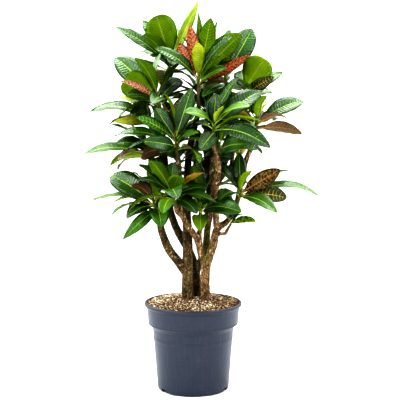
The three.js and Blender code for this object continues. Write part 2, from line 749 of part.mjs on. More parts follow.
const croton = new THREE.Group();
croton.add(piece('pot', makePot(), finish(0x454a57, 0.45)));
croton.add(piece('potting_mix', makeMix(stemHoles()), finish(0xb08a5e, 0.95)));
for (const name of Object.keys(stems)) {
  croton.add(piece(`stem_${name}`, makeStem(name), finish(barkColors[name], 0.85)));
}
const grownLeaves = growLeaves();
for (const shoot of shoots) {
  const color = leafColors[shoot.name] ?? plainLeafColor;
  croton.add(piece(`leafy_shoot_${shoot.name}`, makeShoot(shoot, grownLeaves), finish(color, 0.4)));
}

export default croton;
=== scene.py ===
import json
import math

import bpy
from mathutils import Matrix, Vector, kdtree

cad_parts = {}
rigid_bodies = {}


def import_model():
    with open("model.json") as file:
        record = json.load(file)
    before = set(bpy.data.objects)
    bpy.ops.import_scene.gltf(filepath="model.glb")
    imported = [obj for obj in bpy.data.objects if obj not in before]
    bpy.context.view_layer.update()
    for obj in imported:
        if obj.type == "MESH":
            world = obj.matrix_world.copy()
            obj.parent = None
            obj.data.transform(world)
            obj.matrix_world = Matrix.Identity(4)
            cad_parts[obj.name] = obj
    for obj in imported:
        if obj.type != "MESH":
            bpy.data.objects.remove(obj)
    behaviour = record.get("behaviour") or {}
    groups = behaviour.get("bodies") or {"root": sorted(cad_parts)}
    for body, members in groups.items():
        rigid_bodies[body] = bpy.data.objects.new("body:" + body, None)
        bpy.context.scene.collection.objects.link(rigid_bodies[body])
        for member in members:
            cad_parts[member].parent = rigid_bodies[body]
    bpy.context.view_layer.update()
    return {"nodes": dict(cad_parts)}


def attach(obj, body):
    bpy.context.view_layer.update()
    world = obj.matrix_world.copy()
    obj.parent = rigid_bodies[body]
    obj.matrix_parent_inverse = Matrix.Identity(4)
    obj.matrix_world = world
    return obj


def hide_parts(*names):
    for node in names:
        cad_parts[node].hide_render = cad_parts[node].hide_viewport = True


for leftover in list(bpy.data.objects):  # nothing of the start-up scene stays
    bpy.data.objects.remove(leftover)

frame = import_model()
mm = 0.001
fullTurn = 2 * math.pi
zAxis = Vector((0, 0, 1))
print("frame loaded:", len(frame["nodes"]), "nodes")

# Camera at the photo's angle
cameraPlace = {"x": 0.019, "y": -2.7, "z": 0.81, "tiltDown": 6.04, "lens": 89.2, "sensor": 36.0, "farEnd": 50}


def placed(name, data):  # a new object in the scene
    thing = bpy.data.objects.new(name, data)
    bpy.context.scene.collection.objects.link(thing)
    return thing


def addCamera(place):
    camera = placed("camera", bpy.data.cameras.new("camera"))
    camera.data.lens = place["lens"]
    camera.data.sensor_width = place["sensor"]
    camera.data.clip_end = place["farEnd"]
    camera.location = (place["x"], place["y"], place["z"])
    camera.rotation_euler = (math.radians(90 - place["tiltDown"]), 0, 0)
    bpy.context.scene.camera = camera


addCamera(cameraPlace)

# Node trees: new nodes go into the tree being built, and one tree is finished before the next begins
building = {"tree": None}


class Wire:  # a node's output that takes part in plain arithmetic, in geometry and shader trees alike
    def __init__(self, socket):
        self.socket = socket

    def __abs__(self):
        return calc("ABSOLUTE", self)


def giveSign(sign, operation):  # a wire may stand on either side of the sign
    setattr(Wire, f"__{sign}__", lambda left, right: combine(operation, left, right))
    setattr(Wire, f"__r{sign}__", lambda right, left: combine(operation, left, right))


wireSigns = {"add": "ADD", "sub": "SUBTRACT", "mul": "MULTIPLY", "truediv": "DIVIDE", "pow": "POWER"}
for signName, signNode in wireSigns.items():
    giveSign(signName, signNode)


def isVector(value):
    return isinstance(value, Wire) and value.socket.type in ("VECTOR", "RGBA")


def tint(code):  # a written colour as the linear values that shaders take
    parts = [int(code[i:i + 2], 16) / 255 for i in (0, 2, 4)]
    return tuple(((part + 0.055) / 1.055) ** 2.4 for part in parts) + (1.0,)


def plug(target, value):  # wires a value to a socket or sets it there; a colour is written in hexadecimal
    if isinstance(value, Wire):
        building["tree"].links.new(value.socket, target)
    else:
        target.default_value = tint(value) if target.type == "RGBA" else value


def addNode(kind, inputs=(), **settings):
    node = building["tree"].nodes.new(kind)
    for key, value in settings.items():
        setattr(node, key, value)
    for key, value in dict(inputs).items():
        plug(node.inputs[key], value)
    return node


def nodeWire(kind, inputs=(), output=0, **settings):  # a new node's output, by place or name
    return Wire(addNode(kind, inputs, **settings).outputs[output])


def calc(operation, *values):
    return nodeWire("ShaderNodeMath", enumerate(values), operation=operation)


def vectorCalc(operation, *values):
    return nodeWire("ShaderNodeVectorMath", enumerate(values), operation=operation)


def combine(operation, left, right):
    vectors = isVector(left), isVector(right)
    if not any(vectors):
        return calc(operation, left, right)
    if all(vectors) or operation in ("ADD", "SUBTRACT"):
        return vectorCalc(operation, left, right)
    vector, number = (left, right) if vectors[0] else (right, left)
    return nodeWire("ShaderNodeVectorMath", {0: vector, "Scale": number}, operation="SCALE")


def clamp(value):
    return calc("MINIMUM", calc("MAXIMUM", value, 0.0), 1.0)


def blendTo(first, second, share):  # first where the share is 0, second where it is 1
    return first + (second - first) * share


def ease(value, start, end):  # 0 at start and 1 at end, with soft ends; end may be the lower one
    limits = {"Value": value, "From Min": start, "From Max": end}
    return nodeWire("ShaderNodeMapRange", limits, interpolation_type="SMOOTHSTEP")


def split(value):
    return [Wire(output) for output in addNode("ShaderNodeSeparateXYZ", {0: value}).outputs]


def join(x, y, z):
    return nodeWire("ShaderNodeCombineXYZ", enumerate((x, y, z)))


def noise(place, scale, detail=3.0, roughness=0.55):
    inputs = {"Vector": place, "Scale": scale, "Detail": detail, "Roughness": roughness}
    return nodeWire("ShaderNodeTexNoise", inputs)


def stretched(place, along=1.0, across=1.0, shift=0.0):  # a place for noise, scaled along z and across it
    x, y, z = split(place)
    return join(x * across + shift, y * across, z * along)


def spots(place, scale, start, end, detail=2.0, roughness=0.55):  # soft-edged spots of noise
    return ease(noise(place, scale, detail, roughness), start, end)


def newTree(kind, name, inputs):  # an input is given by its kind of socket, or by a value to start from
    tree = bpy.data.node_groups.new(name, kind)
    building["tree"] = tree
    kinds = {float: "Float", int: "Int", bpy.types.Material: "Material"}
    for key, value in inputs.items():
        inputKind = value if isinstance(value, str) else kinds[type(value)]
        socket = tree.interface.new_socket(name=key, in_out="INPUT", socket_type="NodeSocket" + inputKind)
        if value != inputKind:
            socket.default_value = value
    return {socket.name: Wire(socket) for socket in addNode("NodeGroupInput").outputs if socket.name}


def closeTree(kind, results):  # gives the tree its named outputs, and the results to them
    tree = building["tree"]
    for key in results:
        tree.interface.new_socket(name=key, in_out="OUTPUT", socket_type="NodeSocket" + kind)
    addNode("NodeGroupOutput", results)
    return tree


def weighed(values, start=0.0, **weights):  # a number to start from, and each named value by its weight
    for key, weight in weights.items():
        start = start + values[key] * weight
    return start


# Geometry Nodes
def geometryTree(name, sizes):  # a tree with a named input for each size
    return newTree("GeometryNodeTree", name, {"Geometry": "Geometry", **sizes})


def step(kind, geometry=None, settings=None, **values):  # one geometry node, with its first output
    inputs = {} if geometry is None else {0: geometry}
    inputs.update({key.replace("_", " "): value for key, value in values.items()})
    return nodeWire(kind, inputs, **(settings or {}))


def attribute(name, kind="FLOAT"):
    return nodeWire("GeometryNodeInputNamedAttribute", {"Name": name}, "Attribute", data_type=kind)


def store(geometry, name, value, kind="FLOAT", domain="POINT"):
    settings = {"data_type": kind, "domain": domain}
    return step("GeometryNodeStoreNamedAttribute", geometry, settings, Name=name, Value=value)


def joined(*parts):
    node = addNode("GeometryNodeJoinGeometry")
    for part in parts:
        plug(node.inputs[0], part)
    return Wire(node.outputs[0])


def tubeAlong(lines, radiusName, sides):  # a capped tube on each line of edges
    curve = step("GeometryNodeMeshToCurve", lines)
    ring = step("GeometryNodeCurvePrimitiveCircle", Resolution=sides, Radius=1.0)
    radius = attribute(radiusName)
    return step("GeometryNodeCurveToMesh", curve, Profile_Curve=ring, Scale=radius, Fill_Caps=True)


def finishTree(geometry, material, *parts):  # coated all over, then each part by its selection
    coated = step("GeometryNodeRealizeInstances", geometry)
    coated = step("GeometryNodeSetMaterial", coated, Material=material)
    for selection, partMaterial in parts:
        coated = step("GeometryNodeSetMaterial", coated, Selection=selection, Material=partMaterial)
    return closeTree("Geometry", {"Geometry": coated})


def addTree(thing, tree, sizes):  # inputs are set by identifier before the object is first evaluated
    modifier = thing.modifiers.new(tree.name, "NODES")
    modifier.node_group = tree
    for socket in tree.interface.items_tree:
        if socket.in_out == "INPUT" and socket.name in sizes:
            modifier[socket.identifier] = sizes[socket.name]


def newObject(name, verts, edges=(), faces=()):
    mesh = bpy.data.meshes.new(name)
    mesh.from_pydata([tuple(v) for v in verts], list(edges), list(faces))
    return placed(name, mesh)


def addValues(thing, name, values):  # one number or vector for each vertex
    isNumber = isinstance(values[0], (int, float))
    kind, field = ("FLOAT", "value") if isNumber else ("FLOAT_VECTOR", "vector")
    layer = thing.data.attributes.new(name, kind, "POINT")
    flat = values if isNumber else [part for value in values for part in value]
    layer.data.foreach_set(field, flat)


def asPlainMesh(thing):  # the evaluated shape becomes the object's own mesh, with no modifier left
    evaluated = thing.evaluated_get(bpy.context.evaluated_depsgraph_get())
    mesh = bpy.data.meshes.new_from_object(evaluated)
    thing.modifiers.clear()
    thing.data = mesh
    mesh.name = thing.name
    return thing


def settle(piece, nodeName):
    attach(piece, "root")
    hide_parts(nodeName)
    print(piece.name, "triangles:", sum(len(face.vertices) - 2 for face in piece.data.polygons))


# Colours and shader effects
def ramp(value, stops):
    node = addNode("ShaderNodeValToRGB", {0: value})
    bar = node.color_ramp.elements
    for place in list(stops)[1:-1]:
        bar.new(place)
    for element, (place, code) in zip(bar, stops.items()):
        element.position = place
        element.color = tint(code)
    return Wire(node.outputs[0])


def mixColor(share, first, second):
    return nodeWire("ShaderNodeMix", {0: share, 6: first, 7: second}, 2, data_type="RGBA")


def layered(color, *layers):  # each layer's share and colour, laid over the ones before
    for share, over in layers:
        color = mixColor(share, color, over)
    return color


def shaderValue(name, output="Fac"):  # a value stored on the mesh
    return nodeWire("ShaderNodeAttribute", {}, output, attribute_name=name)


def newMaterial(name):  # gives the material and the place on the piece
    material = bpy.data.materials.new(name)
    material.use_nodes = True
    building["tree"] = material.node_tree
    return material, nodeWire("ShaderNodeTexCoord", {}, "Object")


def surface(material, color, roughness, height, relief, gloss=0.5, sheen=(0.0, 0.5)):  # wires the shader
    bump = nodeWire("ShaderNodeBump", {"Strength": 1.0, "Distance": relief, "Height": height})
    inputs = {"Base Color": color, "Roughness": roughness, "Normal": bump, "Specular IOR Level": gloss,
              "Sheen Weight": sheen[0], "Sheen Roughness": sheen[1]}
    for key, value in inputs.items():
        plug(material.node_tree.nodes["Principled BSDF"].inputs[key], value)
    return material


def useGroup(group, **values):  # gives the group's outputs by name
    node = addNode("ShaderNodeGroup", values, node_tree=group)
    return {output.name: Wire(output) for output in node.outputs}


def makeMottle():  # soft patches and fine grain, stretched along z where wanted
    inputs = {"Place": "Vector", "Patches": 20.0, "Grain": 400.0, "Stretch": 1.0}
    given = newTree("ShaderNodeTree", "mottle", inputs)
    x, y, z = split(given["Place"])
    drawn = join(x, y, z / given["Stretch"])
    patch, speck = noise(drawn, given["Patches"], detail=5.0), noise(drawn, given["Grain"], detail=2.0)
    return closeTree("Float", {"Patch": ease(patch, start=0.3, end=0.7),
                               "Speck": ease(speck, start=0.35, end=0.65)})


mottle = makeMottle()

# The plant's own plan, in millimetres: stems, shoots and leaves stand where the part's nodes have them
drainSlots = {"count": 3, "width": 18, "height": 9, "innerRadius": 90, "outerRadius": 104, "start": 96}
stems = {
    "left": [
        ("top", [(-14, -5, 145, 17), (-15, -8, 250, 16.5), (-16, -12, 295, 15), (-15, -15, 345, 14.5),
                 (-15, -15, 430, 13), (-18, -12, 510, 12), (-15, -5, 595, 10.5), (-10, 0, 660, 9),
                 (6, 0, 730, 8)]),
        ("left_low", [(-16, -15, 320, 12), (-42, -15, 358, 12), (-66, -15, 390, 11.5), (-86, -13, 440, 10),
                      (-93, 3, 485, 8.5), (-98, 14, 535, 8)]),
        ("low_left", [(-86, -15, 437, 8.5)]),
        ("left_back", [(-97, 15, 540, 7), (-117, 38, 610, 7)]),
    ],
    "back": [
        ("left_top", [(14, 34, 145, 14), (10, 32, 250, 13.5), (5, 30, 325, 12.5), (-10, 35, 375, 11.5),
                      (-30, 35, 410, 11), (-50, 35, 450, 10.5), (-65, 30, 500, 9.5), (-70, 30, 550, 9),
                      (-75, 20, 605, 8.5), (-80, 0, 685, 7.5)]),
        ("back_left_top", [(-75, 20, 600, 7.5), (-80, 48, 665, 7), (-93, 70, 740, 7)]),
        ("back_mid", [(-64, 30, 497, 8), (-55, 75, 540, 7.5), (-45, 105, 570, 7)]),
        ("right_top", [(5, 30, 315, 11), (20, 42, 345, 10.5), (35, 52, 390, 10), (40, 56, 440, 9.5),
                       (45, 55, 520, 9), (80, 40, 605, 8), (118, 25, 695, 7.5)]),
        ("back_low", [(40, 56, 438, 7.5), (40, 80, 475, 7)]),
        ("back_high", [(45, 55, 518, 7.5), (40, 88, 595, 7), (35, 105, 655, 7)]),
        ("back_right", [(60, 49, 555, 7), (88, 88, 590, 7)]),
    ],
    "right": [
        ("low_right", [(35, -6, 145, 14), (34, -8, 250, 13), (35, -10, 335, 12.5), (55, -10, 400, 11.5),
                       (65, -15, 445, 10), (92, -6, 465, 8)]),
        ("low_centre", [(35, -10, 335, 10), (20, -16, 385, 9.5), (16, -20, 425, 8)]),
        ("left_front", [(19, -16, 388, 8.5), (8, -30, 425, 8.5), (-20, -52, 470, 8), (-35, -68, 510, 7.5),
                        (-36, -70, 550, 7.5), (-36, -72, 595, 7.5)]),
        ("low_front", [(-29, -61, 488, 7)]),
        ("back_right_top", [(35, -9, 350, 8.5), (36, 2, 400, 8.5), (42, 8, 455, 8), (54, 6, 525, 8),
                            (52, 15, 590, 7.5), (58, 35, 660, 7.5), (76, 70, 725, 7)]),
        ("centre_low", [(65, -15, 443, 9), (62, -32, 485, 8.5), (60, -45, 545, 8), (66, -50, 585, 7.5)]),
        ("centre_front", [(60, -45, 540, 7.5), (66, -72, 600, 7.5), (65, -92, 645, 7)]),
        ("right_mid", [(98, -4, 470, 7.5), (122, 24, 520, 7.5), (134, 25, 585, 7.5), (146, 12, 635, 7)]),
        ("low_sprig", [(62, -13, 428, 5.5), (76, -20, 434, 4.5)]),
    ],
}

# A shoot's foot, crown and listed leaves: heading, lift, reach, width, turn to the front, and age,
# from 0 for a young yellow-green leaf over 0.5 for a dark green one to 1 for an old red one
shoots = {
    "top": ((15, 0, 780), (15, -5, 855), [
        (269, 48, 128, 34, 0, 0.14), (204, 80, 144, 36, 113, 0.95), (145, 55, 115, 40, 60, 0.95),
        (301, 68, 169, 50, -33, 0.4), (325, 45, 155, 42, 60, 0.5), (83, 80, 193, 22, 10, 0.45),
        (210, 30, 155, 46, 50, 0.45), (340, 20, 85, 30, 50, 0.25), (7, 24, 157, 28, 88, 0.93),
        (20, 44, 172, 76, -75, 0.35), (48, 75, 186, 20, 43, 0.5)]),
    "back_left_top": ((-98, 74, 805), (-60, 60, 905), [
        (165, 30, 190, 32, 50, 0.4), (150, 50, 145, 46, 40, 0.4), (236, 60, 136, 88, -39, 0.35),
        (7, 65, 180, 28, 86, 0.1), (215, 10, 70, 36, 50, 0.5)]),
    "left_top": ((-85, -10, 750), (-95, -20, 810), [
        (154, 38, 164, 66, 60, 0.45), (221, 23, 116, 76, -75, 0.35), (70, 70, 130, 44, -50, 0.35),
        (226, 15, 142, 24, 70, 0.99), (225, 0, 110, 44, 45, 0.5), (125, 50, 115, 26, 10, 0.6),
        (145, -15, 100, 40, 30, 0.55)]),
    "back_right_top": ((95, 90, 795), (90, 80, 865), [
        (26, 57, 154, 66, 65, 0.45), (80, 20, 120, 40, 0, 0.45), (55, 70, 140, 46, 0, 0.4)]),
    "right_top": ((145, 20, 765), (140, 15, 830), [
        (320, 51, 102, 82, -58, 0.3), (25, 25, 130, 40, 50, 0.4), (324, 17, 98, 34, 101, 0.75),
        (30, -10, 90, 38, 30, 0.5), (230, 0, 60, 34, 30, 0.35)]),
    "left_back": ((-115, 40, 710), (-120, 35, 765), [
        (165, 0, 170, 46, 35, 0.45), (165, 20, 105, 24, 20, 0.08), (230, 5, 70, 46, -60, 0.3),
        (200, -8, 82, 26, 40, 0.78), (226, -11, 132, 30, 78, 0.03)]),
    "left_front": ((-40, -80, 640), (-45, -90, 700), [
        (216, -4, 102, 40, 84, 0.5), (191, 55, 94, 42, 96, 0.55), (325, 68, 139, 44, 123, 0.48),
        (325, 10, 75, 34, 30, 0.3), (70, 55, 145, 56, -40, 0.8), (115, 55, 70, 26, 0, 0.05),
        (211, 24, 128, 40, 50, 0.62), (160, 0, 175, 46, 25, 0.4), (210, -25, 110, 54, -70, 0.8),
        (235, -25, 75, 36, 20, 0.6)]),
    "left_low": ((-105, 20, 610), (-115, 15, 665), [
        (170, -6, 195, 46, 30, 0.35), (205, -20, 130, 40, -35, 0.25), (165, -15, 130, 34, 0, 0.5),
        (210, 10, 105, 48, 40, 0.45)]),
    "centre_front": ((55, -100, 695), (55, -110, 740), [
        (220, 15, 100, 46, 40, 0.3), (290, 78, 75, 36, 159, 0.55), (305, 45, 65, 20, 0, 0.1),
        (320, 20, 125, 46, 30, 0.3), (25, 30, 165, 56, 50, 0.5), (234, -49, 93, 44, 42, 0.5),
        (335, 0, 140, 34, -20, 0.25), (337, -22, 168, 50, 50, 0.5)]),
    "centre_low": ((70, -55, 625), (70, -60, 675), [
        (315, 5, 100, 60, 60, 0.35), (215, -10, 90, 42, 30, 0.35), (135, -35, 80, 48, 30, 0.6),
        (130, 35, 90, 44, -50, 0.6), (50, 35, 65, 44, -50, 0.6), (313, -40, 54, 38, 54, 0.5)]),
    "right_mid": ((165, 0, 690), (175, -5, 750), [
        (25, 17, 150, 50, 50, 0.45), (40, 40, 80, 22, -30, 0.1), (315, 0, 100, 46, -20, 0.85),
        (350, -20, 128, 38, -60, 0.86), (290, 50, 75, 42, 20, 0.3)]),
    "low_left": ((-95, -15, 480), (-110, -20, 535), [
        (155, 23, 140, 66, 60, 0.45), (170, 0, 178, 34, 25, 0.3), (210, -5, 120, 28, 0, 0.7),
        (230, -27, 112, 46, 20, 0.5), (135, -20, 100, 36, 20, 0.55), (228, -43, 153, 34, 51, 0.35),
        (280, -36, 124, 56, 0, 0.35), (225, 30, 80, 44, -30, 0.8), (260, 70, 100, 44, 20, 0.45)]),
    "low_front": ((-45, -85, 515), (-55, -95, 555), [
        (255, -30, 95, 42, 0, 0.25), (335, -10, 130, 42, 20, 0.4), (320, -30, 100, 42, 20, 0.5),
        (80, 60, 90, 40, 0, 0.4), (335, 30, 110, 32, -20, 0.72), (325, 25, 70, 24, 20, 0.3),
        (325, 40, 50, 14, 0, 0.05), (30, 5, 110, 50, 30, 0.5)]),
    "low_centre": ((20, -20, 465), (20, -30, 505), [
        (320, 0, 140, 60, 40, 0.45), (270, -30, 100, 44, 0, 0.2), (65, 20, 80, 46, 20, 0.5)]),
    "low_right": ((120, 0, 510), (130, -5, 550), [
        (347, 29, 124, 46, 90, 0.82), (10, -4, 220, 46, 20, 0.35), (344, -8, 132, 54, 60, 0.77),
        (320, -23, 132, 48, 30, 0.35), (300, 50, 75, 40, 20, 0.25), (110, 45, 70, 38, 0, 0.35),
        (140, 50, 90, 44, 10, 0.55)]),
    "low_sprig": ((94, -24, 446), (105, -30, 466), [
        (335, 5, 70, 28, 40, 0.65), (45, 25, 50, 20, 0, 0.3), (150, 40, 50, 18, 0, 0.25),
        (80, 10, 60, 22, 20, 0.4)]),
    "back_high": ((35, 110, 710), (40, 120, 780), []),
    "back_mid": ((-40, 120, 610), (-45, 130, 685), []),
    "back_right": ((110, 110, 625), (120, 125, 690), []),
    "back_low": ((45, 95, 515), (55, 110, 570), []),
}
growing = {
    "seed": 2024, "leavesPerShoot": 17, "fewestFree": 5, "goldenAngle": 137.5, "highestLift": 68,
    "lowestLift": -25, "liftScatter": 14, "shortest": 95, "longest": 165, "endSize": 0.25, "leastSize": 0.3,
    "slimmest": 0.28, "widthScatter": 0.1, "turnScatter": 60, "nudgeAngle": 6, "nudgeShortening": 0.04,
    "nudgeDirections": 8, "nudgeRings": 6, "nearEnough": 0.2 * mm,
}
ageRule = {"seed": 88, "youngest": 0.32, "byHanging": 0.18, "scatter": 0.2, "oldChance": 0.06, "oldest": 0.8}
shootForm = {"footRadius": 5.5, "crownRadius": 4, "budLength": 12, "leafSpread": 50, "bareFoot": 12}
sprig = {"name": "low_sprig", "scale": 0.7}
leafForm = {
    "stalkShare": 0.13, "thinningShare": 0.25, "slimShift": 0.85, "shiftByWidth": 0.55, "slimTaper": 1.05,
    "taperByWidth": 1.1, "leastTaper": 0.5, "mostTaper": 0.9, "fold": 0.22, "wavesOnBlade": 1.5,
    "edgeDelay": 0.8, "leastWave": 1, "waveScatter": 2, "twistScatter": 24, "levelArch": 0.15,
    "archBySteepness": 0.09, "archScatter": 0.04,
}


def shootLine(name):  # where a shoot's green stem starts and ends, and its scale
    foot, crown = [Vector(place) for place in shoots[name][:2]]
    return foot, crown, sprig["scale"] if name == sprig["name"] else 1


def drawer(seed, factor=1664525, addend=1013904223, size=2 ** 32):  # a seeded row of draws between 0 and 1
    state = seed

    def draw():
        nonlocal state
        state = (state * factor + addend) % size
        return state / size
    return draw


def leafPlan(draw, shootName, row, age):
    plan = dict(zip(("heading", "lift", "reach", "width", "turn"), row), shoot=shootName, age=age)
    form = leafForm
    arch = form["levelArch"] - form["archBySteepness"] * math.sin(math.radians(plan["lift"]))
    plan["arch"] = arch + form["archScatter"] * (draw() - 0.5)
    plan["wave"] = form["leastWave"] + form["waveScatter"] * draw()
    plan["phase"] = fullTurn * draw()
    plan["twist"] = form["twistScatter"] * (draw() - 0.5)
    return plan


def ruleRow(draw, k, count):  # the leaves that aren't listed, from steep to hanging
    g = growing
    share = k / (count - 1)
    heading = 360 * draw() * (1 if k == 0 else 0)
    lift = g["highestLift"] + (g["lowestLift"] - g["highestLift"]) * share + g["liftScatter"] * (draw() - 0.5)
    size = math.sin(math.pi * (g["endSize"] + (1 - 2 * g["endSize"]) * share))
    drawnSize = g["leastSize"] + (1 - g["leastSize"]) * draw()
    reach = g["shortest"] + (g["longest"] - g["shortest"]) * size * drawnSize
    width = reach * (g["slimmest"] + g["widthScatter"] * draw())
    turn = g["turnScatter"] * (draw() - 0.5)
    return heading, lift, reach, width, turn


def leafPlans():
    draw, drawAge = drawer(growing["seed"] + 1), drawer(ageRule["seed"])
    plans = [leafPlan(draw, name, row[:5], row[5]) for name, (_, _, rows) in shoots.items() for row in rows]
    for name, (_, _, rows) in shoots.items():
        wanted = max(growing["fewestFree"], growing["leavesPerShoot"] - len(rows))
        count = 0 if name == sprig["name"] else wanted
        heading = 0
        for k in range(count):
            row = ruleRow(draw, k, count)
            heading += row[0] + growing["goldenAngle"]
            grown = ageRule["youngest"] + ageRule["byHanging"] * k / count + ageRule["scatter"] * drawAge()
            age = ageRule["oldest"] if drawAge() < ageRule["oldChance"] else grown
            plans.append(leafPlan(draw, name, (heading, *row[1:]), age))
    return plans


def nudges():  # the places that a leaf may take, in growing order
    places = [(0, 0, 0)]
    for ring in range(1, growing["nudgeRings"] + 1):
        for k in range(growing["nudgeDirections"]):
            angle = fullTurn * k / growing["nudgeDirections"]
            size = growing["nudgeAngle"] * ring
            places.append((size * math.cos(angle), size * math.sin(angle), growing["nudgeShortening"] * ring))
    return places


def leafFrame(plan, nudge):
    azimuth = math.radians(plan["heading"] + nudge[0])
    rise = math.radians(plan["lift"] + nudge[1])
    reach = plan["reach"] * (1 - nudge[2])
    foot, crown, _ = shootLine(plan["shoot"])
    stemDown = foot - crown
    spread = min(shootForm["leafSpread"], stemDown.length - shootForm["bareFoot"])
    root = crown + stemDown.normalized() * spread * (0.5 - 0.5 * math.sin(rise))
    outward = Vector((math.cos(rise) * math.cos(azimuth), math.cos(rise) * math.sin(azimuth), math.sin(rise)))
    tip = crown + reach * outward
    chord = (tip - root).normalized()
    upward = (zAxis - chord * chord.z).normalized()
    sideways = chord.cross(upward)
    toFront = math.radians(plan["turn"]) * (-1 if -sideways.y < 0 else 1)
    normal = upward * math.cos(toFront) + sideways * math.sin(toFront)
    return root, tip, chord, normal


def nodePoints(name):  # a search tree of a node's corners
    corners = [v.co for v in frame["nodes"][name].data.vertices]
    tree = kdtree.KDTree(len(corners))
    for index, corner in enumerate(corners):
        tree.insert(corner, index)
    tree.balance()
    return tree


def growLeaves():  # each planned leaf takes the place where its node has the leaf's tip
    grown = {name: [] for name in shoots}
    corners = {name: nodePoints("leafy_shoot_" + name) for name in shoots}
    for plan in leafPlans():
        for nudge in nudges():
            root, tip, chord, normal = leafFrame(plan, nudge)
            if corners[plan["shoot"]].find(tip * mm)[2] < growing["nearEnough"]:
                grown[plan["shoot"]].append((plan, root, tip, chord, normal))
                break
    return grown


grownLeaves = growLeaves()
print("leaves:", sum(len(leaves) for leaves in grownLeaves.values()))


# Leafy shoots: each leaf is one closed skin in the part's leaf formula, with a raised rib and puffed panels
leafSkin = {"around": 16, "rows": 56, "stalkRows": 4, "ribCrowding": 1.5, "slantCurve": 1.4, "foldCurve": 1.3,
            "ribThinning": 0.7, "ribOnTop": 0.3, "thinTipCurve": 6, "edgeClosing": 3, "rippleTurns": 34,
            "rippleDelay": 1.5, "seam": 0.02 * mm, "nettedAge": 0.6}
leafSizes = {
    "Vein slant": 0.075, "Rib half width": 0.12, "Stalk half width": 1.8 * mm,
    "Stalk half thickness": 1.4 * mm, "Blade half thickness": 0.25 * mm, "Rib half thickness": 0.85 * mm,
    "Fold": leafForm["fold"], "Ripple": 0.7 * mm,
}
greenStem = {"sides": 14, "sunk": 6, "spacing": 2.2, "swelling": 0.07, "scarSpacing": 9, "budEnd": 0.4,
             "budSteps": (0.4, 0.75, 1), "relief": 0.4 * mm}


def leafPattern():  # where a template corner lies: along the stalk, along the blade, across, and on its ring
    x, y, z = split(step("GeometryNodeInputPosition"))
    row = (z + 0.5) * leafSkin["rows"]
    bladeRows = leafSkin["rows"] - leafSkin["stalkRows"]
    bladeShare = clamp((row - leafSkin["stalkRows"]) / bladeRows)
    stalkPart = clamp(row / leafSkin["stalkRows"])
    level = 1.0 - abs(calc("ARCTAN2", y, x)) * 2 / math.pi
    across = calc("SIGN", level) * abs(level) ** leafSkin["ribCrowding"]
    return stalkPart, bladeShare, across, x, y


def makeLeafTree(materials):
    given = geometryTree("leafySprays", {**leafSizes, **materials})
    template = step("GeometryNodeMeshCylinder", settings={"fill_type": "NGON"}, Vertices=leafSkin["around"],
                    Side_Segments=leafSkin["rows"], Radius=1.0, Depth=1.0)
    stalkPart, bladeShare, across, x, y = leafPattern()
    template = store(template, "leafPlace", join(across, bladeShare, stalkPart), "FLOAT_VECTOR")
    template = store(template, "ringPlace", join(x, y, 0.0), "FLOAT_VECTOR")
    template = store(template, "underside", calc("LESS_THAN", y, 0.0), domain="FACE")
    leaves = step("GeometryNodeInstanceOnPoints", given["Geometry"], Selection=attribute("isRoot"),
                  Instance=template)
    leaves = step("GeometryNodeRealizeInstances", leaves)
    leaves = step("GeometryNodeSetPosition", leaves, Position=leafPosition(given))
    leaves = step("GeometryNodeMergeByDistance", leaves, Distance=leafSkin["seam"])
    stem = store(tubeAlong(given["Geometry"], "stemRadius", greenStem["sides"]), "isStem", 1.0)
    isNetted = calc("GREATER_THAN", attribute("leafAge"), leafSkin["nettedAge"])
    return finishTree(step("GeometryNodeSetShadeSmooth", joined(leaves, stem)), given["Leaf"],
                      (isNetted, given["Netted leaf"]), (attribute("underside"), given["Underside"]),
                      (attribute("isStem"), given["Stem"]))


